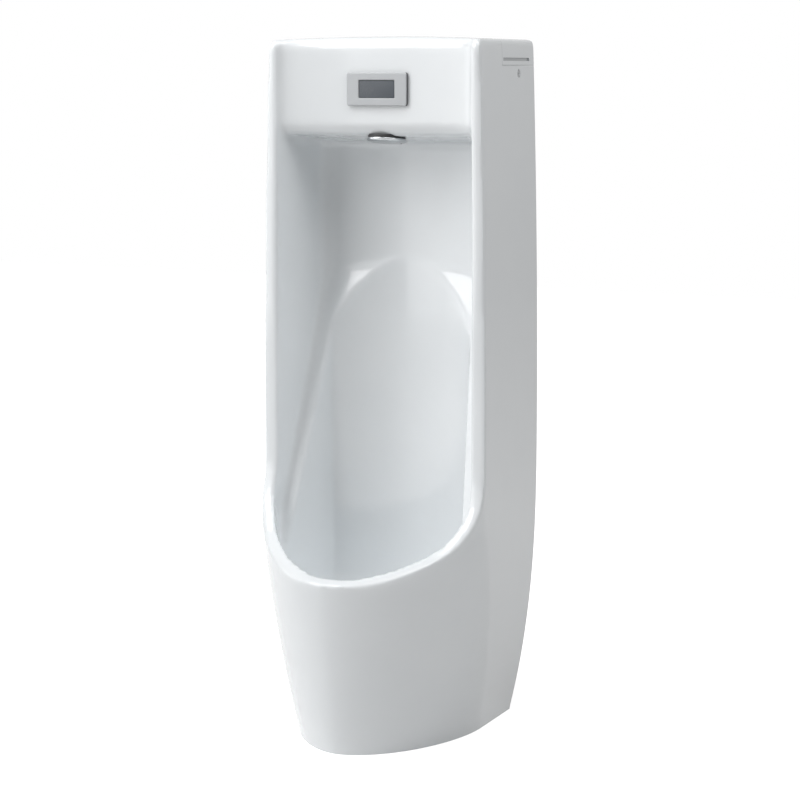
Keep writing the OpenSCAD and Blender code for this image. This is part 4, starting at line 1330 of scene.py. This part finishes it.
@dataclass
class Strainer(Piece):
    """The domed strainer in the bowl."""

    y: float = -18.0
    seat: float = 150.3
    slots: int = 12
    slot_length: float = 14.0
    slot_width: float = 3.6
    slot_corner: float = 1.79
    slot_middle: float = 23.0

    def build(self) -> None:
        """Builds the strainer."""
        z = self.seat
        profile = [
            (0.0, z + 3), (18, z + 2), (32, z + 0.2), (33.2, z - 0.3), (33.2, z - 8.9),
            (35.7, z - 8.9), (35.7, z), (45.4, z), (46, z + 0.5), (46, z + 1.6),
            (45.2, z + 2.3), (40, z + 4), (30, z + 6), (18, z + 8), (8, z + 8.8), (0.0, z + 9),
        ]
        place = Matrix.Translation((0, self.y, 0))
        strainer = Workshop.lathe("bowl_strainer", profile, place, sides=96)
        slot = rounded_rectangle(self.slot_length, self.slot_width, self.slot_corner, 4)
        for k in range(self.slots):
            turn = place @ Matrix.Rotation(tau * k / self.slots, 4, "Z")
            section = [tuple(turn @ Vector((x + self.slot_middle, y, 0)))[:2] for x, y in slot]
            Workshop.cut(strainer, Workshop.prism("slot", section, 2, (z - 2.0, z + 14.0)))
        resin = self.finishes["white_resin"]
        Workshop.finish(strainer, resin, Body.STRAINER, "white_resin", ["drain_strainer"], 34)


INNER_LOOKS = {
    "zinc_steel": (
        "lid_catch", "lock_clip", "clamp_strap", "clamp_screws", "valve_bonnet", "bonnet_screws",
        "coil_nut", "plunger", "plunger_spring", "stop_spindle", "box_bracket",
    ),
    "cast_brass": (
        "spreader_nut", "spreader_elbow", "pipe_nut", "valve_body", "inlet_nut",
        "stop_valve_body", "spindle_nut",
    ),
    "black_rubber": (
        "spreader_washer", "diaphragm", "sensor_lead", "valve_lead", "trap_seal",
        "socket_gasket", "pipe_seal", "flange_seal",
    ),
    "grey_resin": (
        "sensor_housing", "control_box", "box_cover", "trap_cup", "drain_socket", "drain_pipe",
    ),
    "black_resin": ("solenoid_coil", "socket_nut"),
    "chrome_plate": ("flush_pipe", "wall_flange"),
    "board_lacquer": ("sensor_board", "control_board"),
    "emitter_lens": ("ir_emitters",),
    "cell_wrap": ("batteries",),
}


@dataclass
class InnerPieces:
    """The fittings out of sight, which keep their CAD shapes and get finishes."""

    finishes: Finishes

    def dress(self) -> None:
        """Gives each remaining CAD node its material."""
        for material, names in INNER_LOOKS.items():
            for name in names:
                Workshop.paint(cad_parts[name], self.finishes[material])
        LOG.info("dressed %d CAD nodes", sum(map(len, INNER_LOOKS.values())))


# ---------------------------------------------------------------- studio


@dataclass
class Studio:
    """The camera, the lamps, the floor and the white surroundings."""

    camera_place: Point = (1353.5, -2656.5, 949.7)
    yaw: float = 26.4
    pitch: float = 8.84
    focal: float = 94.69
    sensor: float = 36.0
    middle: Point = (0.0, 0.0, 0.55)
    lamp_size: float = 1.6
    mirrored: float = 0.66

    def camera(self) -> None:
        """Sets the photograph's viewpoint."""
        turn = (radians(90 - self.pitch), 0.0, radians(self.yaw))
        place = [value * MM for value in self.camera_place]
        bpy.ops.object.camera_add(location=place, rotation=turn)
        camera = bpy.context.object
        camera.data.lens = self.focal
        camera.data.sensor_width = self.sensor
        camera.data.sensor_fit = "HORIZONTAL"
        camera.data.clip_end = 50.0
        bpy.context.scene.camera = camera

    def lamp(self, name: str, place: Point, power: float) -> None:
        """Adds a soft square lamp that points at the object's middle.

        Args:
            name: Its name.
            place: Where it stands, in metres.
            power: Its power, in watts.
        """
        bpy.ops.object.light_add(type="AREA", location=place)
        lamp = bpy.context.object
        lamp.name = name
        aim = Vector(self.middle) - Vector(place)
        lamp.rotation_euler = aim.to_track_quat("-Z", "Y").to_euler()
        lamp.data.shape = "RECTANGLE"
        lamp.data.size = lamp.data.size_y = self.lamp_size
        lamp.data.energy = power

    def seen(self, shader: Shader) -> Socket:
        """Gives how white the surroundings are: to the camera, mirrored and through glass."""
        rays = shader.node("ShaderNodeLightPath")
        return (rays[0] + rays[3] * self.mirrored + rays[6]).minimum(1.0)

    def surroundings(self) -> None:
        """Makes the world white to the eye and plain in its light."""
        shader = Shader("studio", "worlds")
        bpy.context.scene.world = shader.owner
        strength = self.seen(shader).ramp(0.0, 1.0, 0.04, 1.0)
        inputs = {"Color": (1, 1, 1, 1), "Strength": strength}
        ground = shader.node("ShaderNodeBackground", {}, inputs)[0]
        shader.node("ShaderNodeOutputWorld", {}, {"Surface": ground})

    def floor(self) -> None:
        """Lays a pale floor that keeps the object's shadow."""
        Workshop.choose()
        bpy.ops.mesh.primitive_plane_add(size=12.0, location=(0, 0, -0.0005))
        floor = bpy.context.object
        floor.name = "studio_floor"
        shader = Shader("studio_floor")
        length = {"operation": "LENGTH"}
        reach = shader.node("ShaderNodeVectorMath", length, {0: shader.place()})[1]
        fade, white = reach.ramp(0.3, 1.5, 0.0, 1.0), (1.0, 1.0, 1.0)
        floor.data.materials.append(shader.principled(
            Base_Color=shader.blend(shader.noise(0.8, 1.0), (0.66, 0.66, 0.66), (0.69, 0.69, 0.69)),
            Roughness=0.9,
            Specular_IOR_Level=0.1,
            Emission_Color=shader.blend(fade, (0.82, 0.82, 0.82), white),
            Emission_Strength=self.seen(shader),
        ))

    def build(self) -> None:
        """Builds the whole studio."""
        bpy.context.scene.view_settings.view_transform = "Standard"
        self.camera()
        self.surroundings()
        self.floor()
        self.lamp("key", (-1.62, -1.93, 2.52), 43.0)
        self.lamp("key_low", (-2.04, -2.43, 1.0), 12.0)
        self.lamp("left", (-2.98, -1.08, 1.0), 12.0)
        self.lamp("left_high", (-1.39, -0.8, 3.32), 32.0)
        self.lamp("right", (2.48, -0.44, 2.52), 29.0)
        self.lamp("top", (0.77, -0.92, 3.52), 27.5)


def main() -> None:
    """Builds the urinal piece by piece."""
    logging.basicConfig(level=logging.INFO, format="%(name)s: %(message)s")
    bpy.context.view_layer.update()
    Studio().build()
    finishes, outline = Finishes(), Outline()
    voxel, edge_rounds = ((4.0, 12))
    china = ChinaBody(finishes, outline, voxel, edge_rounds)
    lid = TopLid(finishes, outline)
    lid.build(china.build(), china.outside(lid.thickness))
    for piece in (LidLock, SensorPlate, Spreader, Strainer):
        piece(finishes, outline).build()
    InnerPieces(finishes).dress()


if __name__ == "__main__":
    main()
